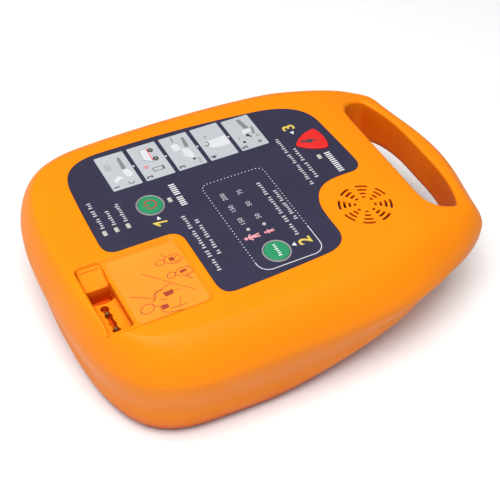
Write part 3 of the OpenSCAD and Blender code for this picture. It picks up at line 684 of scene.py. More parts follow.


# The second orange is painted shade, mixed into the case's hollows by ambient occlusion.
ORANGE, PAINTED_SHADE_ORANGE = (0.80, 0.215, 0.003), (0.52, 0.045, 0.001)
MATERIALS = {
    "orange_plastic": plastic("orange_abs", ORANGE, 0.45, grain=0.03, specular=0.09, painted_shade=PAINTED_SHADE_ORANGE),
    "black_rubber": rubber("black_rubber", (0.028, 0.028, 0.03)),
    "overlay_film": film("navy_film", (0.027, 0.025, 0.050), 0.5, 0.0),
    "green_key": plastic("green_key", (0.022, 0.22, 0.095), 0.45, grain=0.03, specular=0.2),
    "red_key": plastic("red_key", (0.60, 0.020, 0.018), 0.45, grain=0.03, specular=0.2),
    "grey_ring": plastic("grey_ring", (0.21, 0.21, 0.22), 0.45),
    "light_window": plastic("clear_window", (0.42, 0.41, 0.36), 0.25, grain=0.01, coat=0.4),
    "printed_label": film("orange_film", (0.82, 0.235, 0.02), 0.5, 0.0),
    "blank_label": film("silver_film", (0.62, 0.62, 0.6), 0.45),
    # The contacts' gold is darkened well below plated gold as painted shade, so that the pins deep in the
    # socket's slot read as shaded.
    "gold_contact": metal("gold_contact", (0.34, 0.19, 0.05), 0.5),
    "plated_steel": metal("zinc_plate", (0.62, 0.62, 0.64), 0.32),
    "black_paper": rubber("paper_cone", (0.02, 0.02, 0.022)),
    "circuit_board": circuit("solder_mask", (0.015, 0.16, 0.06)),
    "black_plastic": plastic("black_plastic", (0.025, 0.025, 0.028), 0.5, grain=0.12),
    "cream_plastic": plastic("cream_nylon", (0.72, 0.68, 0.56), 0.45, grain=0.08),
    "ribbon_grey": wound("ribbon_cable", (0.45, 0.46, 0.48), 0.5, 1100),
    "capacitor_sleeve": film("capacitor_sleeve", (0.045, 0.06, 0.15), 0.3, 0.4),
    "copper_winding": wound("copper_winding", (0.72, 0.36, 0.1)),
    "bare_aluminium": metal("bare_aluminium", (0.78, 0.79, 0.8), 0.38),
    "blue_plastic": plastic("relay_cover", (0.025, 0.08, 0.28), 0.4, grain=0.08),
    "red_lead": rubber("silicone_lead", (0.55, 0.018, 0.018)),
    "cell_wrap": film("cell_wrap", (0.05, 0.18, 0.42), 0.3, 0.5),
    "spring_steel": wound("spring_wire", (0.5, 0.5, 0.52), 0.3, 1500),
    "brass_insert": metal("brass_insert", (0.78, 0.55, 0.2), 0.3, (14, 1, 1)),
}
INKS = {
    "card": ink("card_ink", (0.385, 0.405, 0.43)),
    "white": ink("white_ink", (0.66, 0.66, 0.68)),
    "text": ink("text_ink", (0.42, 0.42, 0.45)),
    "yellow": ink("yellow_ink", (0.58, 0.43, 0.07)),
    "pink": ink("pink_ink", (0.66, 0.27, 0.31)),
    "red": ink("red_ink", (0.62, 0.05, 0.06)),
    "symbol_red": ink("symbol_red_ink", (0.36, 0.045, 0.035)),
    "dark": ink("dark_ink", (0.035, 0.04, 0.045)),
    "grey": ink("grey_ink", (0.17, 0.18, 0.18)),
    "pale": ink("pale_ink", (0.53, 0.54, 0.56)),
    "brown": ink("brown_ink", (0.30, 0.035, 0.012)),
}


def dress(obj, body, slot, material=None, replaces=()):
    """Gives a finished piece its material, picked by its record slot unless one is given, parents it to its
    body and hides the CAD nodes it stands for.
    """
    obj.data.materials.clear()
    obj.data.materials.append(material or MATERIALS[slot])
    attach(obj, body)
    if replaces:
        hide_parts(*replaces)
    return obj


# ---- camera, light and floor ----

def make_camera():
    data = bpy.data.cameras.new("camera")
    data.lens, data.sensor_width = 81.35, 36
    data.clip_start, data.clip_end = 0.05, 20
    camera = linked("camera", data)
    right = Vector((-0.47075, -0.88105, 0.04637))
    down = Vector((-0.64921, 0.31034, -0.69442))
    forward = Vector((0.59742, -0.35700, -0.71808))
    turn = Matrix((right, -down, -forward)).transposed().to_4x4()
    camera.matrix_world = Matrix.Translation((-0.46868, 0.28371, 0.60011)) @ turn
    bpy.context.scene.camera = camera


def make_light(name, place, target, size, energy):
    data = bpy.data.lights.new(name, "AREA")
    data.shape, data.size, data.energy = "SQUARE", size, energy
    light = linked(name, data)
    light.location = place
    light.rotation_euler = (Vector(target) - Vector(place)).to_track_quat("-Z", "Y").to_euler()


def make_stage():
    scene = bpy.context.scene
    scene.view_settings.view_transform = "Standard"
    world = bpy.data.worlds.new("studio")
    world.use_nodes = True
    background = world.node_tree.nodes["Background"]
    background.inputs["Color"].default_value = (1, 1, 1, 1)
    background.inputs["Strength"].default_value = 0.2
    scene.world = world
    make_light("key", (-0.45, 0.35, 1.5), (0, 0, 0.05), 1.0, 36)
    make_light("fill", (0.9, 0.9, 1.2), (0, 0, 0.05), 1.0, 7)
    reach = 3000
    corners = [(-reach, -reach, 0), (reach, -reach, 0), (reach, reach, 0), (-reach, reach, 0)]
    floor = mesh_object("floor", corners, [(0, 1, 2, 3)])
    m = Nodes("floor_paper", 0.9)
    tone = m.ramp(m.noise(3, 2), 0.2, 0.8, (0.80, 0.80, 0.80), (0.83, 0.83, 0.83))
    floor.data.materials.append(m.finish(tone))


# ---- housings ----

def grip_outline(grow=0.0):
    """Outline of the handle opening."""
    w, far, near = GRIP_W / 2, GRIP_Y, GRIP_BAR_Y
    corner = [(w - 18, far), (w - 8, far), (w - 3, far - 4), (w - 1, far - 11)]
    side = [(w - 1, far - 11), (w - 0.7, far - 15), (w + 0.5, near + 14), (w, near + 11.5)]
    bar = [(w, near + 11.5), (w - 22, near - 1), (w / 3, near), (0, near)]
    right = curve([corner, side, bar], 1.5, closed=False)
    left = right[-2::-1] * [-1, 1]
    outline = smoothed(resample(np.vstack([right, left]), 1.5), 6)
    return grown(anticlockwise(outline), grow)


def shock_outline(grow=0.0):
    """Three-sided key outline with swelling sides and round corners."""
    corners = np.array(SHOCK_CORNERS, float)
    centre = corners.mean(axis=0)
    points = []
    for k in range(3):
        a, b = corners[k], corners[(k + 1) % 3]
        middle = (a + b) / 2
        out = (middle - centre) / np.linalg.norm(middle - centre)
        points += [a + (b - a) * t + out * 9.5 * t * (1 - t) for t in np.linspace(0, 1, 13)[:-1]]
    outline = smoothed(resample(np.array(points), 0.8), 7)
    return grown(anticlockwise(outline), grow)


def key_holes(z_low):
    """Cutters for the three key holes, down to z_low."""
    outlines = [circle(p, KEY_R + KEY_CLEARANCE) for p in (POWER_KEY, ENERGY_KEY)]
    outlines.append(shock_outline(KEY_CLEARANCE))
    return [prism("hole", outline, z_low, TOP_Z + 1) for outline in outlines]


def window_outline(place, grow=0.0):
    x, y = place
    w, h = WINDOW_SIZE[0] / 2 + grow, WINDOW_SIZE[1] / 2 + grow
    return rounded_rect(x - w, x + w, y - h, y + h, 0.5)


def socket_slot():
    """Keyed slot of the electrode socket: four round lobes joined by a narrower waist."""
    first, last = SLOT_LOBES[0], SLOT_LOBES[-1]
    across = np.linspace(first[0] - first[1], last[0] + last[1], 81)
    lobes = [np.sqrt(np.maximum(0, r * r - (across - x) ** 2)) for x, r in SLOT_LOBES]
    waist = np.where((across > first[0]) & (across < last[0]), SLOT_WAIST, 0)
    half = np.maximum.reduce(lobes + [waist])
    lower = np.column_stack([across, SLOT_Y - half])
    upper = np.column_stack([across, SLOT_Y + half])[-2:0:-1]
    return resample(anticlockwise(np.vstack([lower, upper])), 0.5)


def slot_outline(group, radius, half_angle):
    middle = 22.5 + 360 / SLOT_GROUPS * group
    start, end = middle - half_angle, middle + half_angle
    half = SLOT_W / 2
    outer = arc(SPEAKER, radius + half, start, end, 9)
    inner = arc(SPEAKER, radius - half, end, start, 9)
    end_centre, start_centre = (arc(SPEAKER, radius, a, a, 1)[0] for a in (end, start))
    end_cap = arc(end_centre, half, end, end + 180, 7)[1:-1]
    start_cap = arc(start_centre, half, start + 180, start + 360, 7)[1:-1]
    return np.vstack([outer, end_cap, inner, start_cap])


def rimmed_cutter(name, outline, surface, rim, z_low, z_top=TOP_Z + 6):
    """Cutter with straight walls from z_low up to a rounded rim."""
    rings = [with_z(outline, z_low)] + rim_rings(outline, surface, rim)
    return loft(name, rings + [with_z(rings[-1][:, :2], z_top)])


def grip_cutter(upper, lower):
    """Cutter for the handle opening, rounded where it meets the panel and the underside."""
    outline = grip_outline()
    under = rim_rings(outline, probe(lower, False), 8.4, -1)
    over = rim_rings(outline, probe(upper), 3.0)
    rings = [with_z(under[-1][:, :2], -5)] + under[::-1] + over + [with_z(over[-1][:, :2], TOP_Z + 8)]
    return loft("grip_cutter", rings)


def trough_floor(outline):
    """Ramp from the tray floor down to the pit, and a level seat under the socket further on."""
    share = (outline[:, 0] - PIT_X) / (TROUGH[1] - PIT_X)
    return np.where(share < 0, SOCKET_TOP - 4.5, mix(SOCKET_TOP, TRAY_FLOOR, share))


def tray_walls():
    """Material that carries the tray, the trough and the handle's walls inside the shell."""
    x0, x1, y0, y1 = TRAY
    low, high = (x0 - WALL, y0 - WALL, TRAY_FLOOR - WALL), (x1 + WALL, y1 + WALL, TOP_Z + 1)
    tray = box("tray_walls", low, high)
    x0, x1, y0, y1 = TROUGH
    trough = box("trough_walls", (x0 - WALL, y0 - WALL, PIT_FLOOR - WALL), (x1, y1 + WALL, TOP_Z + 1))
    pit = box("pit_walls", (SOCKET_END_X - 6, y0 - 1, DEEP_PIT_FLOOR - 1), (PIT_X + 1, y1 + 1, PIT_FLOOR))
    grip = prism("grip_walls", grip_outline(WALL), -5, TOP_Z + 8)
    return [tray, trough, pit, grip]


def posts(name, r, z0, z1):
    """Upright cylinders at the case screws, between two heights that may vary along y."""
    return joined(name, [prism(name, circle(p, r, 24), z0(p[1]), z1(p[1])) for p in CASE_SCREWS])


def seam_plus(rise):
    """Height function that follows the seam at a distance above it."""
    return lambda y: under_height(y) + SEAM_H + rise


def carve_tray(upper):
    """Cuts the overlay's recess, the pads tray, the trough, the finger pit and the socket's well."""
    overlay = grown(anticlockwise(curve(OVERLAY, 1.2)), 0.12)
    carve(upper, [pocket("overlay_pocket", overlay, TOP_Z - OVERLAY_T, level_at(TOP_Z), 0.35, 0.05),
                  soft_pocket("tray_pocket", rounded_rect(*TRAY, 5.0), TRAY_FLOOR, 3.4)])
    surface = probe(upper)
    x0, _, y0, y1 = TROUGH
    trough = rounded_rect(*TROUGH, 2.0, spacing=1.0)
    pit = rounded_rect(x0, PIT_X, y0, y1, 1.0)
    deep_pit = rounded_rect(SOCKET_END_X - 4, PIT_X, y0 + 0.3, y1 - 0.3, 1.0)
    carve(upper, [pocket("trough_pocket", trough, trough_floor(trough), surface, 2.0, 2.2, paired=True)])
    carve(upper, [rimmed_cutter("pit_pocket", pit, level_at(SOCKET_TOP), 0.6, PIT_FLOOR, SOCKET_TOP + 1),
                  prism("well", socket_slot(), WELL_FLOOR, PIT_FLOOR + 1),
                  prism("deep_pit", deep_pit, DEEP_PIT_FLOOR, PIT_FLOOR + 1)])


def make_upper_shell(upper, grip):
    void = loft("void", [full_ring(r) for r in upper_rings(WALL, 8)], paired=True)
    carve(void, tray_walls() + [posts("screw_posts", SCREW_POST_R, seam_plus(0.1), lambda y: TOP_Z + 2)])
    carve(upper, [void, grip])
    carve_tray(upper)
    slots = [rimmed_cutter("slot", slot_outline(g, r, a), level_at(TOP_Z), 0.3, TOP_Z - WALL - 1)
             for g in range(SLOT_GROUPS) for r, a in zip(SLOT_RADII, SLOT_HALF_ANGLES)]
    holes = key_holes(TOP_Z - 5)
    holes += [prism("hole", circle(p, 1.2, 16), TOP_Z - 5, TOP_Z + 1) for p in STATUS_WINDOWS + DOT_WINDOWS]
    screw_holes = posts("screw_holes", 2.62, seam_plus(-2), seam_plus(16))
    carve(upper, [joined("slots", slots), joined("holes", holes), screw_holes])
    smooth(upper)
    dress(upper, "case", "orange_plastic", replaces=["top_housing"])


def make_lower_shell(lower, grip):
    void = loft("void", [full_ring(r) for r in lower_rings(WALL)], paired=True)
    screw_posts = posts("screw_posts", SCREW_POST_R, lambda y: under_height(y) - 1, seam_plus(-0.1))
    carve(void, [prism("grip_walls", grip_outline(WALL + 4), -5, TOP_Z), screw_posts])
    carve(lower, [void, grip])
    x0, x1, y0, y1 = BATTERY
    g = BAY_GAP + BAY_WALL
    top = BASE_Z + 0.3 + BATTERY_H + 3.2
    carve(lower, [box("bay_walls", (x0 - g, y0 - g, BASE_Z + 1), (x1 + g, y1 + g, top + BAY_WALL))], "UNION")
    latch_walls = box("latch_walls", (-12, LATCH_Y - 10, BASE_Z + 1), (12, y0 - BAY_GAP - 0.5, BASE_Z + 7.4))
    carve(lower, [latch_walls], "UNION")
    under, level = probe(lower, False), level_at(BASE_Z)
    mouth = rounded_rect(x0 - BAY_GAP, x1 + BAY_GAP, y0 - BAY_GAP, y1 + BAY_GAP, 1.2)
    bay = pocket_below("bay", mouth, level, 0.8, -2, top)
    slot_mouth = rounded_rect(-9.4, 9.4, LATCH_Y - 7.4, y0 - g, 0.8)
    latch_slot = pocket_below("latch_slot", slot_mouth, level, 0.6, -2, BASE_Z + 5.2)
    feet = joined("foot_seats", [prism("foot_seat", circle(p, 7.1), -1, BASE_Z + 0.8) for p in FEET])
    heads = joined("head_seats", [pocket_below("head_seat", circle(p, 3.1, 32), under, 0.5, -5,
                                               screw_head_z(p) + 2.5) for p in CASE_SCREWS])
    shafts = posts("shafts", 1.65, lambda y: -5, seam_plus(1))
    carve(lower, [bay, latch_slot, feet, heads, shafts])
    smooth(lower)
    dress(lower, "case", "orange_plastic", replaces=["bottom_housing"])


def make_housings():
    upper = loft("upper_shell", [full_ring(r) for r in upper_rings()], paired=True)
    lower = loft("lower_shell", [full_ring(r) for r in lower_rings()], paired=True)
    upper_grip, lower_grip = grip_cutter(upper, lower), grip_cutter(upper, lower)
    make_upper_shell(upper, upper_grip)
    make_lower_shell(lower, lower_grip)


# ---- panel ----

def make_overlay():
    outline = anticlockwise(curve(OVERLAY, 1.0))
    overlay = plate("keypad_film", outline, TOP_Z - OVERLAY_T, TOP_Z, 0.12)
    holes = key_holes(TOP_Z - 2)
    holes += [prism("hole", window_outline(p, 0.1), TOP_Z - 2, TOP_Z + 1) for p in STATUS_WINDOWS]
    holes += [prism("hole", circle(p, DOT_R + 0.1, 32), TOP_Z - 2, TOP_Z + 1) for p in DOT_WINDOWS]
    carve(overlay, [joined("holes", holes)])
    smooth(overlay)
    dress(overlay, "case", "overlay_film", replaces=["keypad_overlay"])


def make_windows():
    lenses = [plate("lens", window_outline(p), TOP_Z - 1.7, TOP_Z + 0.18, 0.3) for p in STATUS_WINDOWS]
    lenses += [plate("lens", circle(p, DOT_R, 32), TOP_Z - 1.7, TOP_Z + 0.25, 0.4) for p in DOT_WINDOWS]
    windows = joined("light_windows", lenses)
    smooth(windows)
    dress(windows, "case", "light_window", replaces=["status_light_windows"])


def round_key(name, at, body, node):
    """Domed key with a rounded edge, a flange under the panel and a stem to its switch."""
    under, proud, edge = TOP_Z - WALL, TOP_Z + 0.75, 0.6
    profile = [(0, under - 4.5), (2.5, under - 4.5), (2.5, under - 1.8), (KEY_R + 1, under - 1.8),
               (KEY_R + 1, under - 0.3), (KEY_R, under - 0.3), (KEY_R, proud - edge)]
    profile += [(KEY_R - edge * (1 - math.cos(a)), proud - edge + edge * math.sin(a)) for a in KEY_QUARTER]
    profile += [(r, proud + 0.22 * (1 - (r / KEY_R) ** 2)) for r in (6.5, 5, 3.4, 1.7, 0)]
    key = lathe(name, at, profile)
    smooth(key, 40)
    dress(key, body, "green_key", replaces=[node])


def key_ring(name, at, node):
    r0 = KEY_R + 0.12
    profile = [(r0, TOP_Z), (r0 + 1.25, TOP_Z), (r0 + 1.25, TOP_Z + 0.2), (r0 + 1.0, TOP_Z + 0.45),
               (r0 + 0.62, TOP_Z + 0.55), (r0 + 0.25, TOP_Z + 0.45), (r0, TOP_Z + 0.2)]
    segments = 80
    points = np.vstack([with_z(circle(at, r, segments), z) for r, z in profile])
    faces = []
    for k in range(len(profile)):
        faces += strip(k * segments, (k + 1) % len(profile) * segments, segments)
    ring = mesh_object(name, points, faces)
    smooth(ring, 50)
    dress(ring, "case", "grey_ring", replaces=[node])


def make_shock_key():
    """Three-sided key with a rounded edge, a shallow dome and a flange under the panel."""
    under, proud, edge = TOP_Z - WALL, TOP_Z + 0.9, 0.7
    rings = [with_z(shock_outline(1.0), under - 1.8), with_z(shock_outline(1.0), under - 0.3),
             with_z(shock_outline(), under - 0.3), with_z(shock_outline(), proud - edge)]
    rings += [with_z(shock_outline(-edge * (1 - math.cos(a))), proud - edge + edge * math.sin(a))
              for a in KEY_QUARTER]
    middle = np.array([[29, -58]])
    rings += [with_z(mix(shock_outline(-edge), middle, t), proud + 0.25 * (1 - (1 - t) ** 2))
              for t in (0.3, 0.6, 0.9)]
    key = loft("shock_key", rings)
    smooth(key, 40)
    dress(key, "shock_button", "red_key", replaces=["shock_button"])


# ---- print ----

class Sheet:
    """Thin printed shapes that lie on one surface, gathered by ink and placed from an origin."""

    def __init__(self, z):
        self.z = z
        self.shapes = {}
        self.frame((0, 0))

    def frame(self, origin, down=False):
        """Following shapes are measured from origin, downwards in y for a card."""
        self.origin, self.way = origin, -1 if down else 1

    def fill(self, color, points, layer=0):
        points = np.array(points, float) * [1, self.way] + self.origin
        self.shapes.setdefault(color, []).append((anticlockwise(points), None, layer))

    def band(self, color, outer, inner, layer=0):
        """Shape with a hole, from two outlines with the same number of points."""
        outer, inner = (np.array(p, float) * [1, self.way] + self.origin for p in (outer, inner))
        self.shapes.setdefault(color, []).append((outer, inner, layer))

    def line(self, color, points, width, layer=0):
        """Stroke whose joints turn halfway between its segments."""
        points = np.array(points, float)
        steps = np.diff(points, axis=0)
        steps /= np.linalg.norm(steps, axis=1)[:, None]
        side = np.column_stack([-steps[:, 1], steps[:, 0]])
        joint = np.vstack([side[:1], side[:-1] + side[1:], side[-1:]])
        joint /= np.linalg.norm(joint, axis=1)[:, None]
        self.fill(color, np.vstack([points + joint * width / 2, (points - joint * width / 2)[::-1]]), layer)

    def ring(self, color, centre, radius, width, start=0, end=360, layer=0):
        if end - start >= 360:
            outer, inner = (circle(centre, radius + side * width / 2, 40) for side in (1, -1))
            self.band(color, outer, inner, layer)
            return
        outer = arc(centre, radius + width / 2, start, end, 24)
        inner = arc(centre, radius - width / 2, end, start, 24)
        self.fill(color, np.vstack([outer, inner]), layer)

    def dot(self, color, centre, radius, layer=0):
        self.fill(color, circle(centre, radius, 20), layer)

    def frame_box(self, color, x0, x1, y0, y1, width):
        r = 0.4
        outer = rounded_rect(x0, x1, y0, y1, r, 50, 3)
        inner = rounded_rect(x0 + width, x1 - width, y0 + width, y1 - width, max(0.05, r - width), 50, 3)
        self.band(color, outer, inner, 1)

    def words(self, color, x0, x1, y, height, lengths):
        """Rows of plain blocks that stand for printed words, with the words' lengths in blocks."""
        pitch = (x1 - x0) / (sum(lengths) + 0.7 * (len(lengths) - 1))
        rises = (1.0, 0.72, 0.72, 0.95, 0.72, 0.72, 0.9)
        x, count = x0, 0
        for length in lengths:
            for k in range(length):
                top = y + height * (1.0 if k == 0 or height > 3.5 else rises[count % len(rises)])
                block = rounded_rect(x + 0.22 * pitch, x + 0.72 * pitch, y, top, 0.2 * pitch, 9, 2)
                self.fill(color, block)
                x += pitch
                count += 1
            x += 0.7 * pitch

    def build(self, name, body, slot):
        """One closed mesh per ink, each shape a thin prism."""
        for color, shapes in self.shapes.items():
            points, faces = [], []
            for outer, inner, layer in shapes:
                low, high = self.z, self.z + PRINT_T * (1 + layer)
                start, n = len(points), len(outer)
                points += [tuple(p) for p in np.vstack([with_z(outer, low), with_z(outer, high)])]
                if inner is None:
                    faces += [tuple(range(start, start + n)), tuple(range(start + n, start + 2 * n))]
                    faces += strip(start, start + n, n)
                    continue
                points += [tuple(p) for p in np.vstack([with_z(inner, high), with_z(inner, low)])]
                for k in range(4):
                    faces += strip(start + k * n, start + (k + 1) % 4 * n, n)
            obj = mesh_object(f"{name}_{color}", points, faces)
            dress(obj, body, slot, INKS[color])


def numerals(name, items, z, color, thicken=0.0):
    """Plain numerals. Items are (text, x, y of the middle, height)."""
    made = []
    for text, x, y, height in items:
        data = bpy.data.curves.new(name, "FONT")
        data.body, data.size = text, height * MM / 0.73
        data.align_x, data.align_y = "CENTER", "CENTER"
        data.extrude, data.offset = PRINT_T * MM / 2, thicken * MM
        data.resolution_u = 5
        holder = linked(name, data)
        depsgraph = bpy.context.evaluated_depsgraph_get()
        mesh = bpy.data.meshes.new_from_object(holder.evaluated_get(depsgraph))
        mesh.transform(Matrix.Translation((x * MM, y * MM, (z + PRINT_T / 2) * MM)))
        bpy.data.objects.remove(holder)
        made.append(linked(name, mesh))
    obj = joined(name, made)
    work = bmesh.new()
    work.from_mesh(obj.data)
    bmesh.ops.remove_doubles(work, verts=work.verts, dist=1e-7)
    work.to_mesh(obj.data)
    work.free()
    dress(obj, "case", "overlay_film", INKS[color])


CARD_X, CARD_W, CARD_H = 39.6, 35.0, 20.8
CARD_TOPS = (86.4, 62.5, 38.7, 14.8, -9.0)


def card_helper(sheet):
    """A helper bends over a person, with a speech box."""
    sheet.fill("grey", [(29.3, 14.3), (30.2, 15.4), (29.0, 16.4), (17.6, 16.6), (17.2, 13.4)], 1)
    sheet.fill("pale", [(17.2, 13.4), (17.6, 16.6), (14.2, 18.4), (10, 18.6), (9.1, 14.7), (13, 13)], 1)
    sheet.fill("pale", [(10.2, 3.9), (12.4, 8.9), (10.1, 11.6), (8.6, 8.0), (6.4, 5.1)], 1)
    sheet.ring("dark", (4.4, 14.4), 1.9, 0.6, 100, 280, 1)
    sheet.frame_box("grey", 20.3, 25.4, 3.4, 7.3, 0.35)
    sheet.line("grey", [(21.3, 4.8), (24.4, 4.8)], 0.4, 1)
    sheet.line("grey", [(21.3, 6.0), (23.6, 6.0)], 0.4, 1)


def card_ambulance(sheet):
    """A telephone calls an ambulance."""
    sheet.frame_box("dark", 6.6, 10.3, 8.1, 16.3, 0.45)
    sheet.line("dark", [(6.9, 15.6), (10.1, 15.6)], 0.8, 1)
    for r in (1.0, 2.0, 3.0):
        sheet.ring("red", (10.9, 5.6), r, 0.45, -60, 30, 1)
    sheet.fill("pale", [(29.8, 7.4), (30.6, 13.6), (16.6, 13.4), (17.2, 10.6), (20.2, 6.6)], 1)
    edge = [(29.8, 7.2), (30.8, 13.8), (16.2, 13.6), (17.0, 10.4), (20.2, 6.4), (29.8, 7.2)]
    sheet.line("grey", edge, 0.35, 2)
    sheet.line("red", [(30.4, 12.6), (17.0, 12.2)], 0.7, 3)
    for x in (18.4, 27.6):
        sheet.dot("dark", (x, 14.6), 2.0, 3)
        sheet.dot("grey", (x, 14.6), 0.9, 4)


def card_kneeling(sheet):
    """A helper kneels by a person who lies down."""
    sheet.fill("grey", [(30.3, 15.0), (31.0, 16.2), (30.0, 17.2), (20.5, 16.7), (20.0, 13.7)], 1)
    sheet.fill("pale", [(25.8, 5.1), (26.4, 8), (25.4, 10.4), (19.8, 10.5), (18.9, 7.5), (19.7, 4.9)], 1)
    sheet.fill("pale", [(20.4, 10.4), (18.3, 15.2), (12, 16.2), (6.7, 15.0), (12.0, 9.8)], 1)
    sheet.dot("dark", (7.2, 14.4), 1.1, 2)
    sheet.line("grey", [(34.0, 9.0), (28.2, 8.0)], 0.9, 1)
    sheet.frame_box("grey", 2.0, 7.2, 16.6, 18.3, 0.4)


def card_chest(sheet):
    """The pads' places on a bare chest."""
    sheet.fill("pale", [(14.4, 5.2), (17.7, 4.5), (19.6, 8), (19.9, 13.5), (20.4, 20.4), (10.8, 20.4),
                        (10.6, 14), (11.3, 9.2), (12.6, 6.2)], 1)
    sheet.ring("dark", (17.2, 4.4), 1.9, 0.7, 20, 230, 2)
    sheet.line("grey", [(22.6, 7.2), (24.6, 6.2), (25.0, 8.4)], 0.7, 1)


def card_pressing(sheet):
    """A helper presses on a chest."""
    sheet.fill("grey", [(31.0, 10.6), (31.4, 13.4), (20.4, 15.5), (18.8, 11.9)], 1)
    sheet.fill("pale", [(18.2, 8.7), (20.4, 12.0), (19.5, 15.2), (16.5, 15.6), (15.2, 9.0)], 2)
    sheet.fill("grey", [(21.5, 17.2), (19.6, 18.4), (13.1, 16.7), (13.8, 15.0)], 1)
    for x, y, r in ((7.8, 5.6, 1.1), (13.4, 11.0, 1.4), (11.6, 12.4, 0.8)):
        sheet.dot("dark", (x, y), r, 3)
    sheet.ring("grey", (10.8, 17.6), 1.1, 0.5, layer=1)
    sheet.line("grey", [(13.7, 4.2), (11.4, 3.6)], 0.6, 1)
    sheet.dot("grey", (4.6, 16.0), 1.6, 1)


CARD_PICTURES = (card_helper, card_ambulance, card_kneeling, card_chest, card_pressing)


def print_cards(sheet):
    """Five numbered cards with an arrow from each one to the next. The last card is a little narrower."""
    last = len(CARD_TOPS) - 1
    for k, top in enumerate(CARD_TOPS):
        sheet.frame((CARD_X, top), down=True)
        width = CARD_W - (1.2 if k == last else 0)
        sheet.fill("card", rounded_rect(0, width, 0, CARD_H, 0.6, 4, 4))
        if k < last:
            sheet.fill("white", [(16.6, CARD_H + 0.5), (18.6, CARD_H + 0.5), (17.6, CARD_H + 2.0)])
    for top, picture in zip(CARD_TOPS, CARD_PICTURES):
        sheet.frame((CARD_X, top), down=True)
        picture(sheet)
    numbers = [(str(k + 1), CARD_X + 3.0, top - 3.6, 4.3) for k, top in enumerate(CARD_TOPS)]
    numerals("card_numerals", numbers, TOP_Z + PRINT_T, "dark", 0.14)


def print_person(sheet, color, x, y, size):
    """Standing figure with spread arms, on a unit height scaled to size."""
    sheet.frame((x, y))
    left = np.array([(-0.10, 0.22), (-0.28, 0.02), (-0.22, -0.03), (-0.10, 0.08), (-0.11, -0.14),
                     (-0.16, -0.50), (-0.05, -0.50)])
    body = np.vstack([left, [(0, -0.18)], left[::-1] * [-1, 1]])
    sheet.fill(color, body * size)
    sheet.dot(color, (0, 0.36 * size), 0.11 * size)
    sheet.frame((0, 0))


def print_energy_box(sheet):
    """Frame that is solid on the left and dotted on the right, round two figures and their energies."""
    x0, x1, y0, y1, r = -66.0, 20.4, -12.8, 33.1, 8.0
    upper_left = arc((x0 + r, y1 - r), r, 180, 90, 10)
    lower_left = arc((x0 + r, y0 + r), r, 180, 270, 10)
    solid = np.vstack([[(x0 + r + 1.5, y1)], upper_left[::-1], lower_left, [(-42.0, y0)]])
    sheet.line("white", solid, 0.5)
    upper_right = arc((x1 - 5, y1 - 5), 5, 90, 0, 6)
    lower_right = arc((x1 - 5, y0 + 5), 5, 0, -90, 6)
    dots = np.vstack([[(x0 + r + 3.2, y1)], upper_right, lower_right, [(-40.0, y0)]])
    for p in resample(dots, 2.6, closed=False):
        sheet.dot("white", p, 0.36)
    print_person(sheet, "pink", -36.0, 24.4, 11.2)
    print_person(sheet, "pink", -36.0, 12.0, 7.4)
    rows = ((23.6, ("150", "150", "200")), (11.7, ("50", "50", "75")))
    table = [(value, x, y, 3.5) for y, row in rows for x, value in zip((-20.8, -8.0, 4.4), row)]
    numerals("energy_numerals", table, TOP_Z, "text")


def print_words(sheet):
    lines = [(10.8, 37.0, 104.8, (5, 3, 3)), (10.8, 25.5, 96.9, (7,)), (10.8, 29.0, 88.8, (9,)),
             (-53.2, 0.4, 54.4, (5, 3, 8, 6)), (-40.4, -6.0, 48.0, (2, 4, 6, 2)),
             (-46.8, 7.6, -4.5, (5, 3, 8, 6)), (-34.0, -3.6, -10.8, (2, 6, 6)),
             (-10.0, 41.2, -37.1, (2, 8, 5, 8)), (-5.2, 27.6, -43.5, (7, 6))]
    for x0, x1, y, lengths in lines:
        sheet.words("text", x0, x1, y, 2.9, lengths)
    sheet.words("white", 8.4, 30.8, 47.6, 4.5, (5, 6))
    sheet.words("white", -6.8, 14.8, -62.9, 4.5, (11,))


def print_overlay():
    sheet = Sheet(TOP_Z)
    print_cards(sheet)
    sheet.frame((0, 0))
    print_energy_box(sheet)
    print_words(sheet)
    one = [(0.9, 66.4), (2.2, 75.8), (1.2, 75.8), (-2.4, 73.0), (-2.2, 71.6), (0.4, 73.0), (-0.5, 66.4)]
    sheet.fill("yellow", one)
    sheet.fill("white", [(3.6, 72.0), (6.6, 70.5), (3.6, 69.0)])
    sheet.fill("white", [(-55.0, 2.2), (-53.2, 5.0), (-51.4, 2.2)])
    sheet.fill("white", [(43.4, -48.0), (40.4, -49.6), (43.4, -51.2)])
    sheet.build("print", "case", "overlay_film")
    numerals("step_numerals", [("2", -53.2, -5.0, 9.0), ("3", 48.2, -50.0, 9.0)], TOP_Z, "yellow", 0.25)


def print_keys():
    power = Sheet(TOP_Z + 0.92)
    power.frame(POWER_KEY)
    power.ring("symbol_red", (0, 0), 3.9, 0.95, 118, 422)
    power.line("symbol_red", [(0, 0.9), (0, 4.9)], 0.95)
    power.build("power_symbol", "power_button", "green_key")
    energy = Sheet(TOP_Z + 0.93)
    energy.frame(ENERGY_KEY)
    energy.words("white", -5.6, 5.6, -1.3, 2.6, (6,))
    energy.build("energy_symbol", "energy_button", "green_key")
    shock = Sheet(TOP_Z + 1.12)
    bolt = [(29.8, -49.4), (25.8, -57.2), (28.2, -56.8), (25.8, -62.8), (31.6, -54.8), (29.4, -55.0),
            (31.6, -49.6)]
    shock.fill("dark", bolt)
    shock.build("shock_symbol", "shock_button", "red_key")


PEN = 0.45


def head(sheet, centre, rx, ry):
    """Tilted oval drawn with the pen."""
    c, s = math.cos(math.radians(20)), math.sin(math.radians(20))
    oval = circle((0, 0), 1.0, 24) * (rx, ry) @ np.array([[c, s], [-s, c]])
    sheet.band("brown", oval + centre, oval * (1 - PEN / min(rx, ry)) + centre)


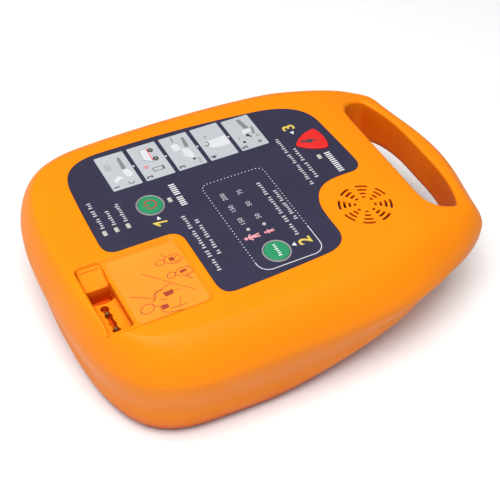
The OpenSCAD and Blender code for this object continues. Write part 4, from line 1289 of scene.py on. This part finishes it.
def print_adult(sheet):
    """Outline of an adult's upper body with the two pads."""
    head(sheet, (-60.8, 108.0), 3.5, 5.0)
    strokes = [
        [(-47.9, 113.6), (-50.5, 108.5), (-53.6, 104.0), (-55.3, 101.2), (-57.2, 103.2)],
        [(-60.5, 103.0), (-62.0, 100.6), (-66.4, 100.8), (-68.2, 98.6), (-69.4, 94.0), (-70.3, 88.4)],
        [(-56.9, 102.4), (-55.2, 100.2), (-52.2, 99.4), (-50.4, 97.4), (-50.8, 93.0)],
        [(-66.2, 94.6), (-67.0, 88.4), (-66.2, 84.6)],
        [(-66.8, 90.2), (-63.0, 87.4), (-60.4, 86.0)],
        [(-52.2, 90.0), (-54.6, 86.4), (-54.2, 83.6)],
        [(-58.4, 93.6), (-58.8, 95.8), (-57.0, 98.0)],
        [(-47.6, 87.0), (-49.6, 93.4), (-51.6, 99.4), (-54.6, 101.2)],
    ]
    for stroke in strokes:
        sheet.line("brown", stroke, PEN)
    sheet.fill("brown", [(-52.8, 94.6), (-52.9, 88.0), (-56.2, 88.6), (-56.6, 94.2)])
    sheet.fill("brown", [(-61.6, 100.0), (-61.9, 95.4), (-65.0, 95.6), (-65.4, 100.2)])


def print_child(sheet, centre, pad, arm):
    """Outline of a child with one pad, from the front or from the back."""
    head(sheet, centre, 2.5, 3.2)
    sheet.frame(centre)
    strokes = [
        [(0.6, -3.2), (2.4, -4.4), (3.4, -7.6), (2.8, -12.8)],
        [(-0.8, -3.2), (-3.0, -4.6), (-4.4, -8.0), (-4.0, -11.4)],
        [(2.8, -12.8), (0.4, -13.4), (-2.4, -14.4), (-4.0, -11.4)],
        [(-1.6, -6.4), (-3.4, -9.0), (-2.2, -12.6)],
        [(0.2, -10.6), (2.2, -12.0)],
        arm,
    ]
    for stroke in strokes:
        sheet.line("brown", stroke, PEN)
    sheet.fill("brown", pad)
    sheet.frame((0, 0))


def print_pads():
    """Line pictures of where the pads go on an adult and on a child, with a line between them."""
    sheet = Sheet(TRAY_FLOOR + 0.3)
    print_adult(sheet)
    sheet.line("brown", [(-33.1, 100.2), (-59.2, 75.1)], PEN * 0.8)
    print_child(sheet, (-29.6, 85.4), [(1.6, -6.0), (1.4, -9.4), (-1.6, -9.6), (-1.4, -6.2)],
                [(2.6, -5.2), (5.2, -3.4), (6.8, -4.2)])
    print_child(sheet, (-42.1, 83.6), [(1.2, -5.6), (1.6, -9.8), (-0.4, -10.4), (-1.0, -6.0)],
                [(-4.2, -8.0), (-7.0, -9.8), (-7.4, -11.2)])
    sheet.build("pads_picture", "case", "printed_label")


# ---- tray, socket and small outer parts ----

def make_pads_film():
    outline = rounded_rect(-70.0, -15.6, 70.0, 117.4, 4.0)
    film_piece = plate("pads_film", outline, TRAY_FLOOR, TRAY_FLOOR + 0.3, 0.1)
    smooth(film_piece)
    dress(film_piece, "case", "printed_label", replaces=["pads_label"])


def make_socket():
    """Keyed insert: raised rim, lobed slot and a hollow edge towards the pit."""
    x0, x1, y0, y1 = TROUGH[0] + 0.1, SOCKET_END_X, TROUGH[2] + 0.1, TROUGH[3] - 0.1
    insert = plate("socket_insert", rounded_rect(x0, x1, y0, y1, 1.0), PIT_FLOOR, SOCKET_TOP, 0.5)
    face = SOCKET_TOP - 0.7
    recess = rounded_rect(x0 + 1.2, x1 + 4, y0 + 1.2, y1 - 1.0, 0.8)
    carve(insert, [pocket("recess", recess, face, level_at(SOCKET_TOP), 0.35, 0.25)])
    notch = circle((x1 + 14.4, (y0 + y1) / 2), 16.5, 120)
    carve(insert, [pocket("notch", notch, PIT_FLOOR - 1, level_at(face), 0.5, 0),
                   rimmed_cutter("slot", socket_slot(), level_at(face), 0.35, PIT_FLOOR - 1, TOP_Z)])
    smooth(insert)
    dress(insert, "case", "orange_plastic", replaces=["pads_socket"])


def make_feet():
    r, top = 7.0, BASE_Z + 0.7
    profile = [(0, 0.35), (3.2, 0.3), (3.6, 0.0), (r - 1.0, 0.0), (r - 0.35, 0.15), (r, 0.55), (r, top),
               (0, top)]
    feet = joined("rubber_foot_pads", [lathe("foot", p, profile, 48) for p in FEET])
    smooth(feet, 40)
    dress(feet, "case", "black_rubber", replaces=["rubber_feet"])


def make_screws():
    screws = []
    for p in CASE_SCREWS:
        z = screw_head_z(p)
        profile = [(0, z), (2.3, z), (2.7, z + 0.3), (SCREW_HEAD_R, z + 2.4), (1.45, z + 2.5),
                   (1.45, z + 16.0), (0, z + 16.5)]
        screw = lathe("screw", p, profile, 40)
        star = np.vstack([arc(p, 1.35 if k % 2 else 0.85, 30 * k, 30 * k, 1) for k in range(12)])
        carve(screw, [prism("star", anticlockwise(star), z - 1, z + 1.3)])
        screws.append(screw)
    screws = joined("case_screw_set", screws)
    smooth(screws)
    dress(screws, "case", "plated_steel", replaces=["case_screws"])


def make_battery():
    x0, x1, y0, y1 = BATTERY
    z0, z1 = BASE_Z + 0.3, BASE_Z + 0.3 + BATTERY_H
    outline = rounded_rect(x0, x1, y0, y1, 1.2)
    low_edge, high_edge = 0.6, 0.8
    rings = [with_z(grown(outline, -low_edge * (1 - math.cos(a))), z0 + low_edge * (1 - math.sin(a)))
             for a in QUARTER[::-1]]
    rings += [with_z(grown(outline, -high_edge * (1 - math.cos(a))), z1 - high_edge * (1 - math.sin(a)))
              for a in QUARTER]
    pack = loft("battery_case", rings)
    cutters = [box("inside", (x0 + 2, y0 + 2, z0 + 3), (x1 - 2, y1 - 2, z1 - 2)),
               box("latch_recess", (-13, y0 - 1, z0 - 1), (13, y0 + 1.2, z0 + 4))]
    for k in range(4):
        groove = rounded_rect(-30, 30, y0 + 20 + k * 9, y0 + 22 + k * 9, 0.95, 3, 5)
        cutters.append(pocket_below("groove", groove, level_at(z0), 0.3, z0 - 2, z0 + 0.7))
    carve(pack, cutters)
    smooth(pack)
    dress(pack, "battery", "black_plastic", replaces=["battery_pack"])


def make_latch():
    y0, y1 = LATCH_Y - 2.6, BATTERY[2] - 3.2
    outline = rounded_rect(-9, 9, y0, y1, 0.6)
    latch = loft("latch_slider", [with_z(grown(outline, -0.4), BASE_Z + 0.2), with_z(outline, BASE_Z + 0.6),
                                  with_z(outline, BASE_Z + 4.9)])
    ribs = []
    for k in range(3):
        y = LATCH_Y + k * 2.4
        rib = rounded_rect(-7, 7, y - 1.5, y - 0.5, 0.45, 3, 5)
        ribs.append(loft("rib", [with_z(grown(rib, -0.25), BASE_Z - 0.6), with_z(rib, BASE_Z - 0.35),
                                 with_z(rib, BASE_Z + 0.4)]))
    carve(latch, ribs, "UNION")
    bores = []
    for x in (-5, 5):
        ring = circle((0, 0), 1.75, 24)
        ends = [np.column_stack([x + ring[:, 0], np.full(24, y), BASE_Z + 2.6 + ring[:, 1]])
                for y in (y0 - 1, y0 + 7)]
        bores.append(loft("bore", ends))
    carve(latch, bores)
    smooth(latch)
    dress(latch, "latch", "black_plastic", replaces=["battery_latch"])


def make_rating_label():
    label = plate("blank_rating_film", rounded_rect(-40, 40, 2, 26, 3), BASE_Z - 0.2, BASE_Z, 0.02)
    smooth(label)
    dress(label, "case", "blank_label", replaces=["rating_label"])


def dress_cad_nodes():
    """Gives every CAD node that stays its procedural material."""
    slots = {s["node"]: s["material_slot"] for s in frame["record"]["subparts"]}
    for name, node in frame["nodes"].items():
        node.data.materials.clear()
        node.data.materials.append(MATERIALS[slots[name]])


make_camera()
make_stage()
dress_cad_nodes()
make_housings()
make_overlay()
make_windows()
round_key("power_key_cap", POWER_KEY, "power_button", "power_button")
round_key("energy_key_cap", ENERGY_KEY, "energy_button", "energy_button")
key_ring("power_key_ring", POWER_KEY, "power_button_ring")
key_ring("energy_key_ring", ENERGY_KEY, "energy_button_ring")
make_shock_key()
print_overlay()
print_keys()
make_pads_film()
print_pads()
make_socket()
make_feet()
make_screws()
make_battery()
make_latch()
make_rating_label()
